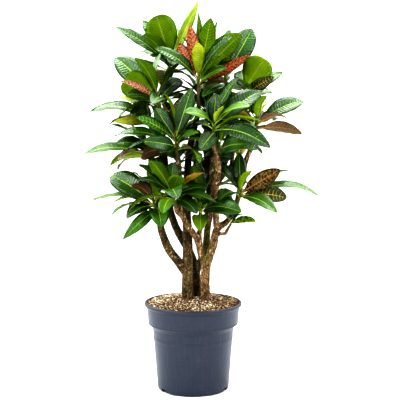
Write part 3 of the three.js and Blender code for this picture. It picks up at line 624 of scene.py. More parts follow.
def leafPosition(given):  # the leaf formula of the part, with a finer cross-section
    form, skin = leafForm, leafSkin
    across, bladeShare, stalkPart = split(attribute("leafPlace", "FLOAT_VECTOR"))
    ringX, ringY, _ = split(attribute("ringPlace", "FLOAT_VECTOR"))
    root, chord, normal = [attribute("leaf" + key, "FLOAT_VECTOR") for key in ("Root", "Chord", "Normal")]
    keys = ("Length", "Width", "Arch", "Wave", "Phase", "Twist", "Shift", "Taper")
    length, width, bend, waviness, phase, turning, shift, taper = [attribute("leaf" + key) for key in keys]
    arch, outward = bend * length, abs(across)

    slant = given["Vein slant"] * 4 * bladeShare * (1.0 - bladeShare) * outward ** skin["slantCurve"]
    along = stalkPart * form["stalkShare"] + bladeShare * (1 - form["stalkShare"]) + slant
    blade = clamp((along - form["stalkShare"]) / (1 - form["stalkShare"]))
    thinning = clamp(blade / form["thinningShare"])
    bulge = calc("MAXIMUM", calc("SINE", blade ** shift * math.pi), 0.0)
    rounded = width / 2 * bulge ** taper
    halfWidth = calc("MAXIMUM", rounded, given["Stalk half width"] * (1.0 - blade))

    ribThickness = blendTo(given["Stalk half thickness"], given["Rib half thickness"], thinning)
    ribThickness = ribThickness * (1.0 - blade * skin["ribThinning"])
    ribHeight = blendTo(skin["ribOnTop"], 1.0, calc("LESS_THAN", ringY, 0.0))
    onRib = clamp(1.0 - outward / given["Rib half width"]) * ribHeight
    bladeThickness = given["Blade half thickness"] * (1.0 - blade ** skin["thinTipCurve"])
    closing = clamp(abs(ringY) * skin["edgeClosing"])
    sheet = blendTo(bladeThickness, ribThickness, onRib) * closing * calc("SIGN", ringY)
    thickness = blendTo(ribThickness * ringY, sheet, thinning)
    sideStep = halfWidth * blendTo(ringX, across, thinning)

    waveTurn = along * (fullTurn * form["wavesOnBlade"]) + phase + across * form["edgeDelay"]
    wave = waviness * calc("SINE", waveTurn) * outward ** 2
    rippleTurn = along * skin["rippleTurns"] + phase * 3 + across * skin["rippleDelay"]
    ripple = given["Ripple"] * calc("SINE", rippleTurn) * outward ** 3 * clamp(4 * (1.0 - blade))
    fold = given["Fold"] * halfWidth * outward ** skin["foldCurve"]
    height = (fold + wave + ripple) * thinning + thickness

    side = vectorCalc("CROSS_PRODUCT", chord, normal)
    middle = root + chord * (length * along) + normal * (arch * 4 * along * (1.0 - along))
    forward = vectorCalc("NORMALIZE", chord * length + normal * (arch * 4 * (1.0 - along * 2)))
    up = vectorCalc("CROSS_PRODUCT", side, forward)
    twist = turning * along
    cosine, sine = calc("COSINE", twist), calc("SINE", twist)
    return middle + (side * cosine + up * sine) * sideStep + (up * cosine - side * sine) * height


def greenStemPath(name):  # points and radii of a green stem, swollen a little at each leaf scar
    foot, crown, scale = shootLine(name)
    rise, length = (crown - foot).normalized(), (crown - foot).length
    footRadius, crownRadius = shootForm["footRadius"], shootForm["crownRadius"]
    points, radii = [], []
    for k in range(int((length + greenStem["sunk"]) / greenStem["spacing"]) + 1):
        distance = k * greenStem["spacing"] - greenStem["sunk"]
        radius = footRadius + (crownRadius - footRadius) * within(distance / length)
        swelling = greenStem["swelling"] * math.cos(fullTurn * distance / greenStem["scarSpacing"])
        points.append(foot + rise * distance)
        radii.append(radius * scale * (1 + swelling))
    for share in greenStem["budSteps"]:
        points.append(crown + rise * shootForm["budLength"] * scale * share)
        radii.append(crownRadius * scale * (1 - share) ** 0.5 + greenStem["budEnd"])
    return points, radii


def within(value):  # kept between 0 and 1
    return min(1.0, max(0.0, value))


def leafValues(name):  # the values that each leaf of a shoot carries
    leaves, form = grownLeaves[name], leafForm
    plans = [leaf[0] for leaf in leaves]
    slimness = [plan["width"] / plan["reach"] for plan in plans]
    tapers = [form["slimTaper"] - form["taperByWidth"] * slim for slim in slimness]
    drawLook = drawer(growing["seed"] + 7 * len(name) + len(leaves))
    values = {
        "isRoot": [1.0 for leaf in leaves],
        "leafRoot": [tuple(leaf[1] * mm) for leaf in leaves],
        "leafChord": [tuple(leaf[3]) for leaf in leaves],
        "leafNormal": [tuple(leaf[4]) for leaf in leaves],
        "leafLength": [(leaf[2] - leaf[1]).length * mm for leaf in leaves],
        "leafLook": [drawLook() for leaf in leaves],
        "leafShift": [form["slimShift"] + form["shiftByWidth"] * slim for slim in slimness],
        "leafTaper": [min(form["mostTaper"], max(form["leastTaper"], taper)) for taper in tapers],
    }
    scales = {"width": mm, "arch": 1.0, "wave": mm, "phase": 1.0, "twist": math.radians(1), "age": 1.0}
    for key, scale in scales.items():
        values["leaf" + key.capitalize()] = [plan[key] * scale for plan in plans]
    return values


def makeShoot(name, tree):
    roots = [leaf[1] * mm for leaf in grownLeaves[name]]
    path, radii = greenStemPath(name)
    edges = [(len(roots) + k, len(roots) + k + 1) for k in range(len(path) - 1)]
    piece = newObject("leafy_spray_" + name, roots + [point * mm for point in path], edges)
    addValues(piece, "stemRadius", [0.0] * len(roots) + [radius * mm for radius in radii])
    for key, values in leafValues(name).items():
        blank = (0.0, 0.0, 1.0) if isinstance(values[0], tuple) else 0.0
        addValues(piece, key, values + [blank] * len(path))
    addTree(piece, tree, leafSizes)
    settle(asPlainMesh(piece), "leafy_shoot_" + name)


leafAges = {  # the ages between which a change of look goes on
    "young": (0.25, 0.15), "shadowed": (0.25, 0.4), "ripened": (0.28, 0.48), "netted": (0.57, 0.61),
    "broadened": (0.63, 0.65), "blotching": (0.642, 0.648), "unblotching": (0.658, 0.652),
    "flecked": (0.7, 0.6), "browned": (0.68, 0.76), "fineNetted": (0.78, 0.82), "reddened": (0.86, 0.92),
}
veinLook = {  # side veins first, by number, half width and softness, then nets, rib and panels
    "pairs": 17.0, "oldPairs": 12.0, "wander": 0.9, "wanderScale": 70.0, "half": 0.14, "oldHalf": 0.09,
    "broader": 0.12, "brownNarrower": 0.17, "redBroader": 0.13, "narrowing": 1.15, "soft": 0.12,
    "oldSoft": 0.07, "edge": (0.98, 0.78), "foot": (0.0, 0.05), "fading": (1.1, 0.45), "broken": (0.4, 0.52),
    "brokenScale": 150.0, "net": 105.0, "redNet": 180.0, "netLine": (0.05, 0.02), "rib": 0.045,
    "ribSoft": 0.03, "ribTaper": 1.2, "stalkEnd": 0.04, "faintest": 0.3, "flatPanel": 0.8, "panel": 1.75,
    "youngPanel": 0.35, "relief": 0.5 * mm,
}
leafTone = {  # how far a leaf's colour strays from its age's until it settles, and how strong its marks are
    "byPatch": 0.1, "byLook": 0.06, "byEdge": 0.05, "settled": 0.9, "settling": 3.3, "shadowFlecks": 0.15,
    "footShadow": 0.35, "paleFlecks": 0.6, "dots": 0.3,
}
leafGloss = {"top": 0.6, "netted": 0.3, "under": 0.15}  # specular level of each leaf material


def atAge(age, name):  # how far a leaf of this age is in one change
    return ease(age, *leafAges[name])


def makeLeafVeins():  # rib, side veins, the nets of old leaves and puffed panels, from a leaf's place and age
    inputs = {"Place": "Vector", "Leaf": "Vector", "Age": 0.5, "Look": 0.5}
    given = newTree("ShaderNodeTree", "leafVeins", inputs)
    place, age, look, vein = given["Place"], given["Age"], given["Look"], veinLook
    across, along, _ = split(given["Leaf"])
    outward = abs(across)
    netted, browned, reddened = [atAge(age, name) for name in ("netted", "browned", "reddened")]
    pairs = blendTo(vein["pairs"], vein["oldPairs"], netted)
    veinTurn = along * pairs + (noise(place, vein["wanderScale"]) - 0.5) * vein["wander"]
    fromVein = abs(calc("FRACT", veinTurn + 0.5) - 0.5)
    half = blendTo(vein["half"], vein["oldHalf"], netted) + atAge(age, "broadened") * vein["broader"]
    half = half - browned * vein["brownNarrower"] + reddened * vein["redBroader"]
    half = half * (vein["narrowing"] - outward)
    onBlade = ease(outward, *vein["edge"]) * ease(along, *vein["foot"])
    lines = ease(fromVein, half + blendTo(vein["soft"], vein["oldSoft"], netted), half) * onBlade
    shown = ramp(age, {0.0: "707070", 0.2: "606060", 0.3: "4c4c4c", 0.36: "707070", 0.56: "707070",
                       0.61: "f0f0f0", 1.0: "f0f0f0"})
    fading = blendTo(blendTo(0.5, 1.0, look), ease(outward, *vein["fading"]), netted)
    broken = spots(place, vein["brokenScale"], *vein["broken"])
    lateral = lines * split(shown)[0] * fading * blendTo(1.0, blendTo(vein["faintest"], 1.0, broken), netted)
    netScale = blendTo(vein["net"], vein["redNet"], reddened)
    net = ease(abs(noise(place, netScale, detail=1.0) - 0.5), *vein["netLine"])
    netShown = calc("MAXIMUM", reddened, atAge(age, "fineNetted") * 0.5)
    ribHalf = vein["rib"] * (vein["ribTaper"] - along)
    onRib, onStalk = ease(outward, ribHalf + vein["ribSoft"], ribHalf), ease(along, vein["stalkEnd"], 0.0)
    rib = calc("MAXIMUM", onRib, onStalk)
    return closeTree("Float", {
        "Outward": outward, "Along": along, "Rib": clamp(rib), "Vein": lines,
        "Lateral": calc("MAXIMUM", lateral, net * netShown),
        "Panel": ease(fromVein, start=0.0, end=0.5) * onBlade})


leafVeins = makeLeafVeins()


def leafMasks(place):  # what the top and the underside share
    age, look = shaderValue("leafAge"), shaderValue("leafLook")
    leaf = useGroup(leafVeins, Place=place, Leaf=shaderValue("leafPlace", "Vector"), Age=age, Look=look)
    leaf.update(useGroup(mottle, Place=place, Patches=28.0, Grain=700.0))
    drift = (leaf["Patch"] - 0.5) * leafTone["byPatch"] + (look - 0.5) * leafTone["byLook"]
    drift = drift + (leaf["Outward"] - 0.4) * leafTone["byEdge"]
    leaf["Age"] = age
    leaf["Shade"] = age + drift * clamp((leafTone["settled"] - age) * leafTone["settling"])
    leaf["Ripened"] = atAge(age, "ripened")
    leaf["RibColor"] = ramp(age, {
        0.0: "dce070", 0.2: "b4cc40", 0.4: "9cbc44", 0.56: "9cb848", 0.62: "bccc54", 0.7: "ccb040",
        0.78: "d0a25c", 0.82: "c88c38", 0.92: "cc7840", 1.0: "e4b090"})
    ripePanel = blendTo(veinLook["flatPanel"], veinLook["panel"], look)
    puffed = blendTo(veinLook["youngPanel"], ripePanel, leaf["Ripened"])
    leaf["Relief"] = leaf["Panel"] * puffed - leaf["Rib"]
    return leaf


def makeLeafTop(side):
    material, place = newMaterial("leaf_" + side)
    leaf = leafMasks(place)
    age = leaf["Age"]
    blade = ramp(leaf["Shade"], {
        0.0: "b8bc3a", 0.12: "7e980c", 0.25: "4c780a", 0.38: "34640c", 0.5: "234f08", 0.57: "1c4604",
        0.61: "34700c", 0.65: "346c0c", 0.71: "34500a", 0.78: "323e0c", 0.82: "38240a", 0.88: "54280c",
        0.94: "66300c", 1.0: "7a4a30"})
    veinColor = ramp(age, {
        0.0: "d4d84c", 0.2: "98b828", 0.28: "64a018", 0.36: "0c4008", 0.56: "062a06", 0.61: "90ac36",
        0.68: "98b03a", 0.76: "c8a058", 0.82: "b8923c", 0.93: "ca6c36", 1.0: "d0a484"})
    shadow = leaf["Speck"] * leafTone["shadowFlecks"]
    shadow = shadow + ease(leaf["Along"], start=0.75, end=0.0) * leafTone["footShadow"]
    shadowed = shadow * atAge(age, "shadowed")
    flecks = spots(place, scale=260.0, start=0.64, end=0.7) * ease(leaf["Outward"], start=0.75, end=0.15)
    flecks = flecks * leafTone["paleFlecks"] * atAge(age, "flecked")
    blotches = spots(place, scale=130.0, start=0.47, end=0.52)
    blotches = blotches * (atAge(age, "blotching") * atAge(age, "unblotching"))
    color = layered(blade, (shadowed, "061c06"), (flecks, "a8c840"), (blotches, "a0c418"),
                    (leaf["Lateral"], veinColor), (leaf["Rib"], leaf["RibColor"]))
    roughness = weighed(leaf, start=0.38, Ripened=-0.13, Patch=0.1, Speck=0.06, Lateral=0.1)
    height = weighed(leaf, Relief=1.0, Speck=0.1)
    return surface(material, color, roughness, height, veinLook["relief"], leafGloss[side])


def makeLeafUnder():
    material, place = newMaterial("leaf_under")
    leaf = leafMasks(place)
    young, browned = atAge(leaf["Age"], "young"), atAge(leaf["Age"], "browned")
    below = ramp(leaf["Shade"], {
        0.0: "fafcb0", 0.06: "e8ec58", 0.2: "88a806", 0.4: "5c8000", 0.5: "4a6c02", 0.6: "3c5804",
        0.68: "4a4420", 0.71: "9c8020", 0.73: "a88828", 0.76: "6c5c42", 0.82: "6a5038", 0.86: "7e6c50",
        1.0: "a8603c"})
    dots = spots(place, scale=420.0, start=0.66, end=0.72, detail=1.0) * leafTone["dots"]
    veins = layered("b4c63c", (young, "6a8a10"), (browned, "b89868"))
    lines = leaf["Vein"] * blendTo(blendTo(0.2, 0.5, young), 0.4, browned)
    ribs = mixColor(0.5, leaf["RibColor"], mixColor(browned, "a8b050", "a08058"))
    color = layered(below, (clamp(lines + dots), veins), (leaf["Rib"], ribs))
    roughness, height = weighed(leaf, start=0.58, Speck=0.06), weighed(leaf, Speck=0.1, Relief=-0.5)
    return surface(material, color, roughness, height, veinLook["relief"], leafGloss["under"])


def makeGreenStemMaterial():
    material, place = newMaterial("green_stem")
    patches = useGroup(mottle, Place=place, Patches=60.0, Grain=500.0, Stretch=3.0)
    color = layered("4f6b2a", (patches["Patch"], "74602f"), (patches["Speck"] * 0.5, "39431f"))
    roughness, height = weighed(patches, start=0.5, Speck=0.2), patches["Speck"] + patches["Patch"]
    return surface(material, color, roughness, height, greenStem["relief"])


leafTree = makeLeafTree({"Leaf": makeLeafTop("top"), "Netted leaf": makeLeafTop("netted"),
                         "Underside": makeLeafUnder(), "Stem": makeGreenStemMaterial()})
for shootName in shoots:
    makeShoot(shootName, leafTree)
print("leafy shoots done")


# Woody stems: tubes along the part's branch lines, grown into one skin, then barked
woodForm = {"endLength": 14, "endRadius": 6.5, "spacing": 4, "voxel": 1.6 * mm, "smoothing": 6,
            "patternShift": 0.7}
tubeSizes = {"Sides": 24}
barkSizes = {"Lump scale": 45.0, "Lump": 1.3 * mm, "Scar scale": 260.0, "Scar": 1.1 * mm,
             "Flake scale": 170.0, "Flake": 0.9 * mm, "Seed": 0.0}


def smoothPath(points, spacing):  # a smooth line through points of x, y, z and radius
    padded = [2 * points[0] - points[1], *points, 2 * points[-1] - points[-2]]
    line = []
    for a, b, c, d in zip(padded, padded[1:], padded[2:], padded[3:]):
        count = max(2, round((c - b).length / spacing))
        for k in range(count):
            t = k / count
            line.append(0.5 * (2 * b + (c - a) * t + (2 * a - 5 * b + 4 * c - d) * t ** 2
                               + (3 * b - a - 3 * c + d) * t ** 3))
    return line + [points[-1]]


def branchLine(name, rows):  # one branch, up to the foot of its shoot
    foot, crown, scale = shootLine(name)
    radius = woodForm["endRadius"] * scale
    below = foot - (crown - foot).normalized() * woodForm["endLength"]
    ends = [Vector((*below, radius)), Vector((*foot, radius))]
    return smoothPath([Vector(row) for row in rows] + ends, woodForm["spacing"])


def lineObject(name, lines, extra=0):  # lines of x, y, z and radius as edges whose corners carry the radius
    verts, edges, radii = [], [], []
    for line in lines:
        edges += [(len(verts) + k, len(verts) + k + 1) for k in range(len(line) - 1)]
        verts += [point.to_3d() * mm for point in line]
        radii += [(point[3] + extra) * mm for point in line]
    thing = newObject(name, verts, edges)
    addValues(thing, "lineRadius", radii)
    return thing


def makeTubeTree():
    given = geometryTree("stemTubes", tubeSizes)
    return finishTree(tubeAlong(given["Geometry"], "lineRadius", given["Sides"]), None)


def cells(place, scale, feature, output):  # flakes of bark, by their edges or by a tone for each
    return nodeWire("ShaderNodeTexVoronoi", {"Vector": place, "Scale": scale}, output, feature=feature)


def makeBarkTree():  # lumps, ring scars left by old leaves and flat flakes, moved out along the surface
    given = geometryTree("stemBark", {**barkSizes, "Material": "Material"})
    place, shift = step("GeometryNodeInputPosition"), given["Seed"]
    lump = noise(stretched(place, along=0.6, shift=shift), given["Lump scale"], detail=2.0) - 0.5
    scar = noise(stretched(place, across=0.25, shift=shift), given["Scar scale"], detail=1.0) - 0.5
    slabs = stretched(place, along=0.55, shift=shift)
    flake = cells(slabs, given["Flake scale"], "DISTANCE_TO_EDGE", "Distance")
    depth = clamp(flake * 5)
    relief = lump * given["Lump"] * 2 + scar * given["Scar"] + (depth - 0.7) * given["Flake"]
    normal = step("GeometryNodeInputNormal")
    rough = step("GeometryNodeSetPosition", given["Geometry"], Offset=normal * relief)
    rough = step("GeometryNodeSetShadeSmooth", store(rough, "barkDepth", depth))
    return finishTree(rough, given["Material"])


barkPattern = {  # scales, then how far the flow bends the plates, and the cracks' width
    "patches": 60.0, "flow": 120.0, "plates": 230.0, "flecks": 380.0, "grain": 900.0, "drift": 0.012,
    "crackWidth": 0.14,
}


def makeBark():  # masks of bark: broad patches, cracks between flakes and pale flecks, and a height for bump
    given = newTree("ShaderNodeTree", "bark", {"Place": "Vector"})
    place, form = given["Place"], barkPattern
    long = stretched(place, along=0.5)
    patch = noise(long, form["patches"], detail=6.0, roughness=0.65)
    flow = noise(place, form["flow"], detail=3.0) * form["drift"]
    plates = long + join(flow, 0.0, flow)
    fromEdge = cells(plates, form["plates"], "DISTANCE_TO_EDGE", "Distance")
    crack = ease(fromEdge, form["crackWidth"], 0.0)
    plateTone = split(cells(plates, form["plates"], "F1", "Color"))[0]
    fleck = noise(stretched(place, along=0.7), form["flecks"], detail=5.0, roughness=0.7)
    grain = noise(stretched(place, along=0.4), form["grain"], detail=2.0)
    height = grain * 0.5 - crack + fleck + plateTone * 0.5
    return closeTree("Float", {"Patch": ease(patch, start=0.36, end=0.64), "Crack": crack,
                               "Fleck": ease(fleck, start=0.53, end=0.62), "Plate": plateTone,
                               "Height": height})


bark = makeBark()
barkLooks = {
    "left": {"deep": "1a120a", "dark": "483920", "mid": "8a744c", "fleck": "ccb484", "flecks": 0.5,
             "plates": 0.3, "moss": 0.0, "shade": 0.4},
    "back": {"deep": "1c160a", "dark": "4e4020", "mid": "766238", "fleck": "a89868", "flecks": 0.45,
             "plates": 0.4, "moss": 0.0, "shade": 0.3},
    "right": {"deep": "2c1b0c", "dark": "7c5d35", "mid": "b08c62", "fleck": "eed8b0", "flecks": 0.6,
              "plates": 0.8, "moss": 0.9, "shade": 0.0},
}
barkSkin = {"darkPlates": 0.6, "cracks": 0.8, "hollowShade": 0.6, "relief": 1.1 * mm, "gloss": 0.3}
mossSpot = {"x": 0.037, "lean": 0.08, "level": 0.4, "width": (0.018, 0.004), "lowEnd": (0.335, 0.335 + 0.03),
            "highEnd": (0.475, 0.475 - 0.04), "color": "6d7a1e"}
shadowedWood = (0.42, 0.50)  # the heights between which the crown darkens the stems


def makeBarkMaterial(name, look):
    material, place = newMaterial("bark_" + name)
    masks, height = useGroup(bark, Place=place), split(place)[2]
    masks["Moss"] = mossCover(place) * look["moss"]
    color = layered(look["dark"], (masks["Patch"], look["mid"]),
                    (ease(masks["Plate"], start=0.35, end=0.1) * barkSkin["darkPlates"], look["deep"]),
                    (ease(masks["Plate"], start=0.76, end=0.9) * look["plates"], look["fleck"]),
                    (masks["Fleck"] * look["flecks"], look["fleck"]),
                    (masks["Crack"] * barkSkin["cracks"], look["deep"]),
                    # painted shade: the bark turns deep where its surface sinks at the edges of flakes
                    (ease(shaderValue("barkDepth"), start=0.5, end=0.0) * barkSkin["hollowShade"], look["deep"]),
                    (masks["Moss"], mossSpot["color"]),
                    (ease(height, *shadowedWood) * look["shade"], look["deep"]))
    roughness = weighed(masks, start=0.72, Fleck=0.15, Moss=0.1)
    bumps = weighed(masks, Height=1.0, Moss=0.4)
    return surface(material, color, roughness, bumps, barkSkin["relief"], barkSkin["gloss"])


def mossCover(place):  # the green film low on the right stem, on the side that faces its forks
    x, _, z = split(place)
    middle = mossSpot["x"] + (z - mossSpot["level"]) * mossSpot["lean"]
    span = ease(z, *mossSpot["lowEnd"]) * ease(z, *mossSpot["highEnd"])
    film = spots(place, scale=90.0, start=0.42, end=0.58, detail=4.0)
    return ease(abs(x - middle), *mossSpot["width"]) * span * film


def makeStem(name, tubeTree, barkTree, material, seed):
    stem = lineObject("woody_stem_" + name, [branchLine(shoot, rows) for shoot, rows in stems[name]])
    addTree(stem, tubeTree, tubeSizes)
    remesh = stem.modifiers.new("grown", "REMESH")
    remesh.mode = "VOXEL"
    remesh.voxel_size = woodForm["voxel"]
    smooth = stem.modifiers.new("smooth", "SMOOTH")
    smooth.iterations = woodForm["smoothing"]
    addTree(stem, barkTree, {**barkSizes, "Seed": seed, "Material": material})
    settle(asPlainMesh(stem), "stem_" + name)


stemTubes, stemBark = makeTubeTree(), makeBarkTree()
for stemNumber, (stemName, stemLook) in enumerate(barkLooks.items()):
    makeStem(stemName, stemTubes, stemBark, makeBarkMaterial(stemName, stemLook),
             woodForm["patternShift"] * stemNumber)
print("woody stems done")


# Pot: a turned wall with rounded edges, two ribs under the step, a beaded step and a thin lip
potForm = {
    "sides": 144, "edgeSteps": 5, "sharpAngle": 50,
    "outer": [(0, 0, 0), (55, 0, 1), (58, 3, 1), (84, 3, 1), (87, 0, 1), (95.5, 0, 2), (98.8, 3.4, 2.5),
              (109.8, 139, 0.8), (110.9, 141.4, 0.8), (110.2, 143.8, 0.6), (111.3, 146.4, 0.8),
              (110.6, 149, 0.8), (112, 165, 4), (113.2, 174, 5), (118.5, 180.5, 4), (124.2, 182.2, 1.2),
              (125.4, 184.8, 1.2), (125, 187.4, 1), (128.4, 230.6, 1.2), (131.6, 230.8, 1.2), (135, 234, 2),
              (135, 239.8, 1.6), (133.2, 242, 1.2)],
    "inner": [(128.6, 242, 1.2), (126.5, 232, 1.5), (122.5, 186, 2), (110, 166, 2), (96.5, 5.5, 2),
              (0, 5.5, 0)],
}
potLook = {"base": "272f41", "cool": "22303f", "warm": "2f2d40", "dust": "78797c", "scuff": "54565c",
           "streaked": 0.7, "ringed": 0.03, "dusty": 0.12, "scratched": 0.16, "drawn": 0.035,
           "relief": 0.25 * mm, "gloss": 0.5, "sheen": (0.08, 0.4)}


def roundedProfile(corners, steps):  # each corner of radius, height and rounding becomes a short curve
    points = [Vector(corner[:2]) for corner in corners]
    line = [points[0]]
    for k in range(1, len(points) - 1):
        before, here, after = points[k - 1:k + 2]
        reach = min(corners[k][2], (here - before).length / 2, (after - here).length / 2)
        start = here + (before - here).normalized() * reach
        end = here + (after - here).normalized() * reach
        for s in range(steps + 1):
            t = s / steps
            line.append(start.lerp(here, t).lerp(here.lerp(end, t), t))
    return line + [points[-1]]


def turned(name, line, sides):  # a closed turned solid; the line runs from the axis below to the axis above
    rings = line[1:-1]
    turns = [(math.cos(fullTurn * k / sides), math.sin(fullTurn * k / sides)) for k in range(sides)]
    verts = [(point[0] * c * mm, point[0] * s * mm, point[1] * mm) for point in rings for c, s in turns]
    low, high = len(verts), len(verts) + 1
    verts += [(0, 0, line[0][1] * mm), (0, 0, line[-1][1] * mm)]
    faces = []
    for k in range(sides):
        n = (k + 1) % sides
        faces.append((low, n, k))
        faces += [(r * sides + k, r * sides + n, (r + 1) * sides + n, (r + 1) * sides + k)
                  for r in range(len(rings) - 1)]
        faces.append(((len(rings) - 1) * sides + k, (len(rings) - 1) * sides + n, high))
    return newObject(name, verts, faces=faces)


def cutAway(thing, cutter):
    cut = thing.modifiers.new("cut", "BOOLEAN")
    cut.operation = "DIFFERENCE"
    cut.solver = "EXACT"
    cut.object = cutter
    asPlainMesh(thing)
    bpy.data.objects.remove(cutter)


def notchCutter(slots):  # boxes across the foot ring where water drains
    verts, faces = [], []
    box = [(0, 1, 3, 2), (4, 6, 7, 5), (0, 4, 5, 1), (2, 3, 7, 6), (0, 2, 6, 4), (1, 5, 7, 3)]
    for k in range(slots["count"]):
        turn = math.radians(slots["start"] + 360 / slots["count"] * k)
        faces += [tuple(len(verts) + corner for corner in face) for face in box]
        for radius in (slots["innerRadius"], slots["outerRadius"]):
            for side in (-slots["width"] / 2, slots["width"] / 2):
                for z in (-slots["height"], slots["height"]):
                    x = radius * math.cos(turn) - side * math.sin(turn)
                    y = radius * math.sin(turn) + side * math.cos(turn)
                    verts.append((x * mm, y * mm, z * mm))
    return newObject("notches", verts, faces=faces)


def makePotMaterial():
    material, place = newMaterial("pot_plastic")
    look, masks = potLook, useGroup(mottle, Place=place, Patches=14.0, Grain=260.0, Stretch=4.0)
    masks["Streaks"] = noise(stretched(place, along=0.06), scale=55.0, detail=4.0)
    masks["Scratches"] = spots(stretched(place, across=0.15), scale=900.0, start=0.66, end=0.74)
    masks["Dust"] = spots(place, scale=30.0, start=0.55, end=0.8, detail=6.0, roughness=0.65)
    rings = spots(stretched(place, across=0.0), scale=260.0, start=0.5, end=0.66, detail=3.0)
    drawn = spots(stretched(place, along=0.02), scale=230.0, start=0.5, end=0.62, detail=3.0)
    color = layered(look["cool"], (masks["Patch"], look["base"]),
                    (ease(masks["Streaks"], start=0.45, end=0.7) * look["streaked"], look["warm"]),
                    (rings * look["ringed"], look["dust"]), (masks["Dust"] * look["dusty"], look["dust"]),
                    (masks["Scratches"] * look["scratched"], look["scuff"]),
                    (drawn * look["drawn"], look["dust"]))
    roughness = weighed(masks, start=0.42, Speck=0.06, Dust=0.12, Scratches=0.1)
    height = weighed(masks, Speck=0.4, Streaks=1.0, Scratches=-0.4)
    return surface(material, color, roughness, height, look["relief"], look["gloss"], look["sheen"])


def makePot():
    line = roundedProfile(potForm["outer"] + potForm["inner"], potForm["edgeSteps"])
    pot = turned("nursery_pot", line, potForm["sides"])
    cutAway(pot, notchCutter(drainSlots))
    pot.data.shade_smooth()
    pot.data.set_sharp_from_angle(angle=math.radians(potForm["sharpAngle"]))
    pot.data.materials.append(makePotMaterial())
    settle(pot, "pot")


makePot()
print("pot done")


# Potting mix: a low mound filling the pot, strewn with bark chips, granules and fibres
mixForm = {
    "wall": [(0, 5.8), (95.5, 5.8), (96.2, 6.5), (109.7, 166.3), (122.2, 186.3), (126.2, 232)],
    "edge": (127.5, 239), "mound": 13.5, "rings": 44, "sides": 120, "stemGap": 0.6, "boreSteps": 45,
    "strewnRadius": 123.5, "bareMargin": 0.5, "fading": 2,
}
mixSizes = {"Chips": 62000.0, "Spacing": 2.5 * mm, "Relief": 1.6 * mm, "Longest": 4.0 * mm,
            "Jitter": 0.8 * mm, "Seed": 11}
chipForm = {"shortest": 0.42, "lengthCurve": 1.6, "breadths": (0.35, 0.8), "heights": (0.18, 0.5),
            "turns": (1.3, 1.3, fullTurn), "kinds": 2.99, "raggedScale": 320.0}
mixSkin = {"relief": 0.8 * mm, "gloss": 0.25, "toneSpread": 0.92, "darkest": 0.06, "byPatch": 0.22,
           "darkerSide": (0.01, 0.08), "bySide": 0.14, "fibres": 480.0, "fibreShare": 0.35}


def randomNumber(seed, k):  # a seeded draw between 0 and 1 for each point
    return nodeWire("FunctionNodeRandomValue", {"Seed": seed + 17 * k}, 1)


def chipKinds():  # a fibre, a block and a granule to draw from
    chip = step("GeometryNodeMeshIcoSphere", Radius=1.0, Subdivisions=2)
    block = step("GeometryNodeMeshCube", Vertices_X=3, Vertices_Y=2, Vertices_Z=2)
    block = step("GeometryNodeSetPosition", block, Position=step("GeometryNodeInputPosition") * 1.5)
    fibre = step("GeometryNodeMeshCylinder", Vertices=6, Side_Segments=5, Radius=0.2, Depth=3.4)
    fibre = step("GeometryNodeTransform", fibre, Rotation=(0.0, math.pi / 2, 0.0))
    return joined(*[step("GeometryNodeGeometryToInstance", shape) for shape in (fibre, block, chip)])


def makeMixTree():
    given = geometryTree("strewnMix", {**mixSizes, "Mix": "Material"})
    bumps = noise(step("GeometryNodeInputPosition"), scale=130.0, detail=4.0) - 0.5
    lift = join(0.0, 0.0, bumps * given["Relief"] * 2 * attribute("strewn"))
    ground = step("GeometryNodeSetPosition", given["Geometry"], Offset=lift)
    ground = store(step("GeometryNodeSetShadeSmooth", ground), "chipTone", 0.5)

    spread = step("GeometryNodeDistributePointsOnFaces", ground, {"distribute_method": "POISSON"},
                  Distance_Min=given["Spacing"], Density_Max=given["Chips"],
                  Density_Factor=attribute("strewn"), Seed=given["Seed"])
    tone, length, breadth, height, kind, *turns = [randomNumber(given["Seed"], k) for k in range(1, 9)]
    spread = store(store(spread, "chipTone", tone), "isChip", 1.0)
    long = given["Longest"] * blendTo(chipForm["shortest"], 1.0, length ** chipForm["lengthCurve"])
    broad, high = blendTo(*chipForm["breadths"], breadth), blendTo(*chipForm["heights"], height)
    turn = join(*[(drawn - 0.5) * most for drawn, most in zip(turns, chipForm["turns"])])
    strewn = step("GeometryNodeInstanceOnPoints", spread, Instance=chipKinds(), Pick_Instance=True,
                  Instance_Index=calc("FLOOR", kind * chipForm["kinds"]), Rotation=turn,
                  Scale=join(long, long * broad, long * high))
    strewn = step("GeometryNodeRealizeInstances", strewn)
    place = step("GeometryNodeInputPosition")
    wobble = nodeWire("ShaderNodeTexNoise", {"Vector": place, "Scale": chipForm["raggedScale"]}, "Color")
    ragged = (wobble - (0.5, 0.5, 0.5)) * (given["Jitter"] * 4)
    strewn = step("GeometryNodeSetPosition", strewn, Offset=ragged)
    return finishTree(joined(ground, strewn), given["Mix"])


def makeMixMaterial():
    material, place = newMaterial("potting_mix")
    tone, isChip = shaderValue("chipTone"), shaderValue("isChip")
    patches = useGroup(mottle, Place=place, Patches=14.0, Grain=900.0)
    skin, fibres = mixSkin, noise(place, mixSkin["fibres"], detail=4.0)
    right = ease(split(place)[0], *skin["darkerSide"])
    region = (patches["Patch"] - 0.5) * skin["byPatch"] - right * skin["bySide"]
    chips = ramp(clamp(tone * skin["toneSpread"] + region + skin["darkest"]), {
        0.0: "24180e", 0.1: "5c4028", 0.22: "926a4c", 0.36: "b69876", 0.5: "b0a078", 0.64: "e2cfae",
        0.82: "f6ead4", 1.0: "fffaee"})
    ground = ramp(fibres, {0.2: "1e130a", 0.5: "46301b", 0.7: "7e603c", 1.0: "bfa376"})
    shaded = ease(fibres, start=0.5, end=0.3) * skin["fibreShare"]
    color = layered(ground, (isChip, chips), (shaded, "5a3a1e"))
    roughness, height = weighed(patches, start=0.78, Speck=0.15), weighed(patches, fibres, Speck=0.5)
    return surface(material, color, roughness, height, skin["relief"], skin["gloss"])


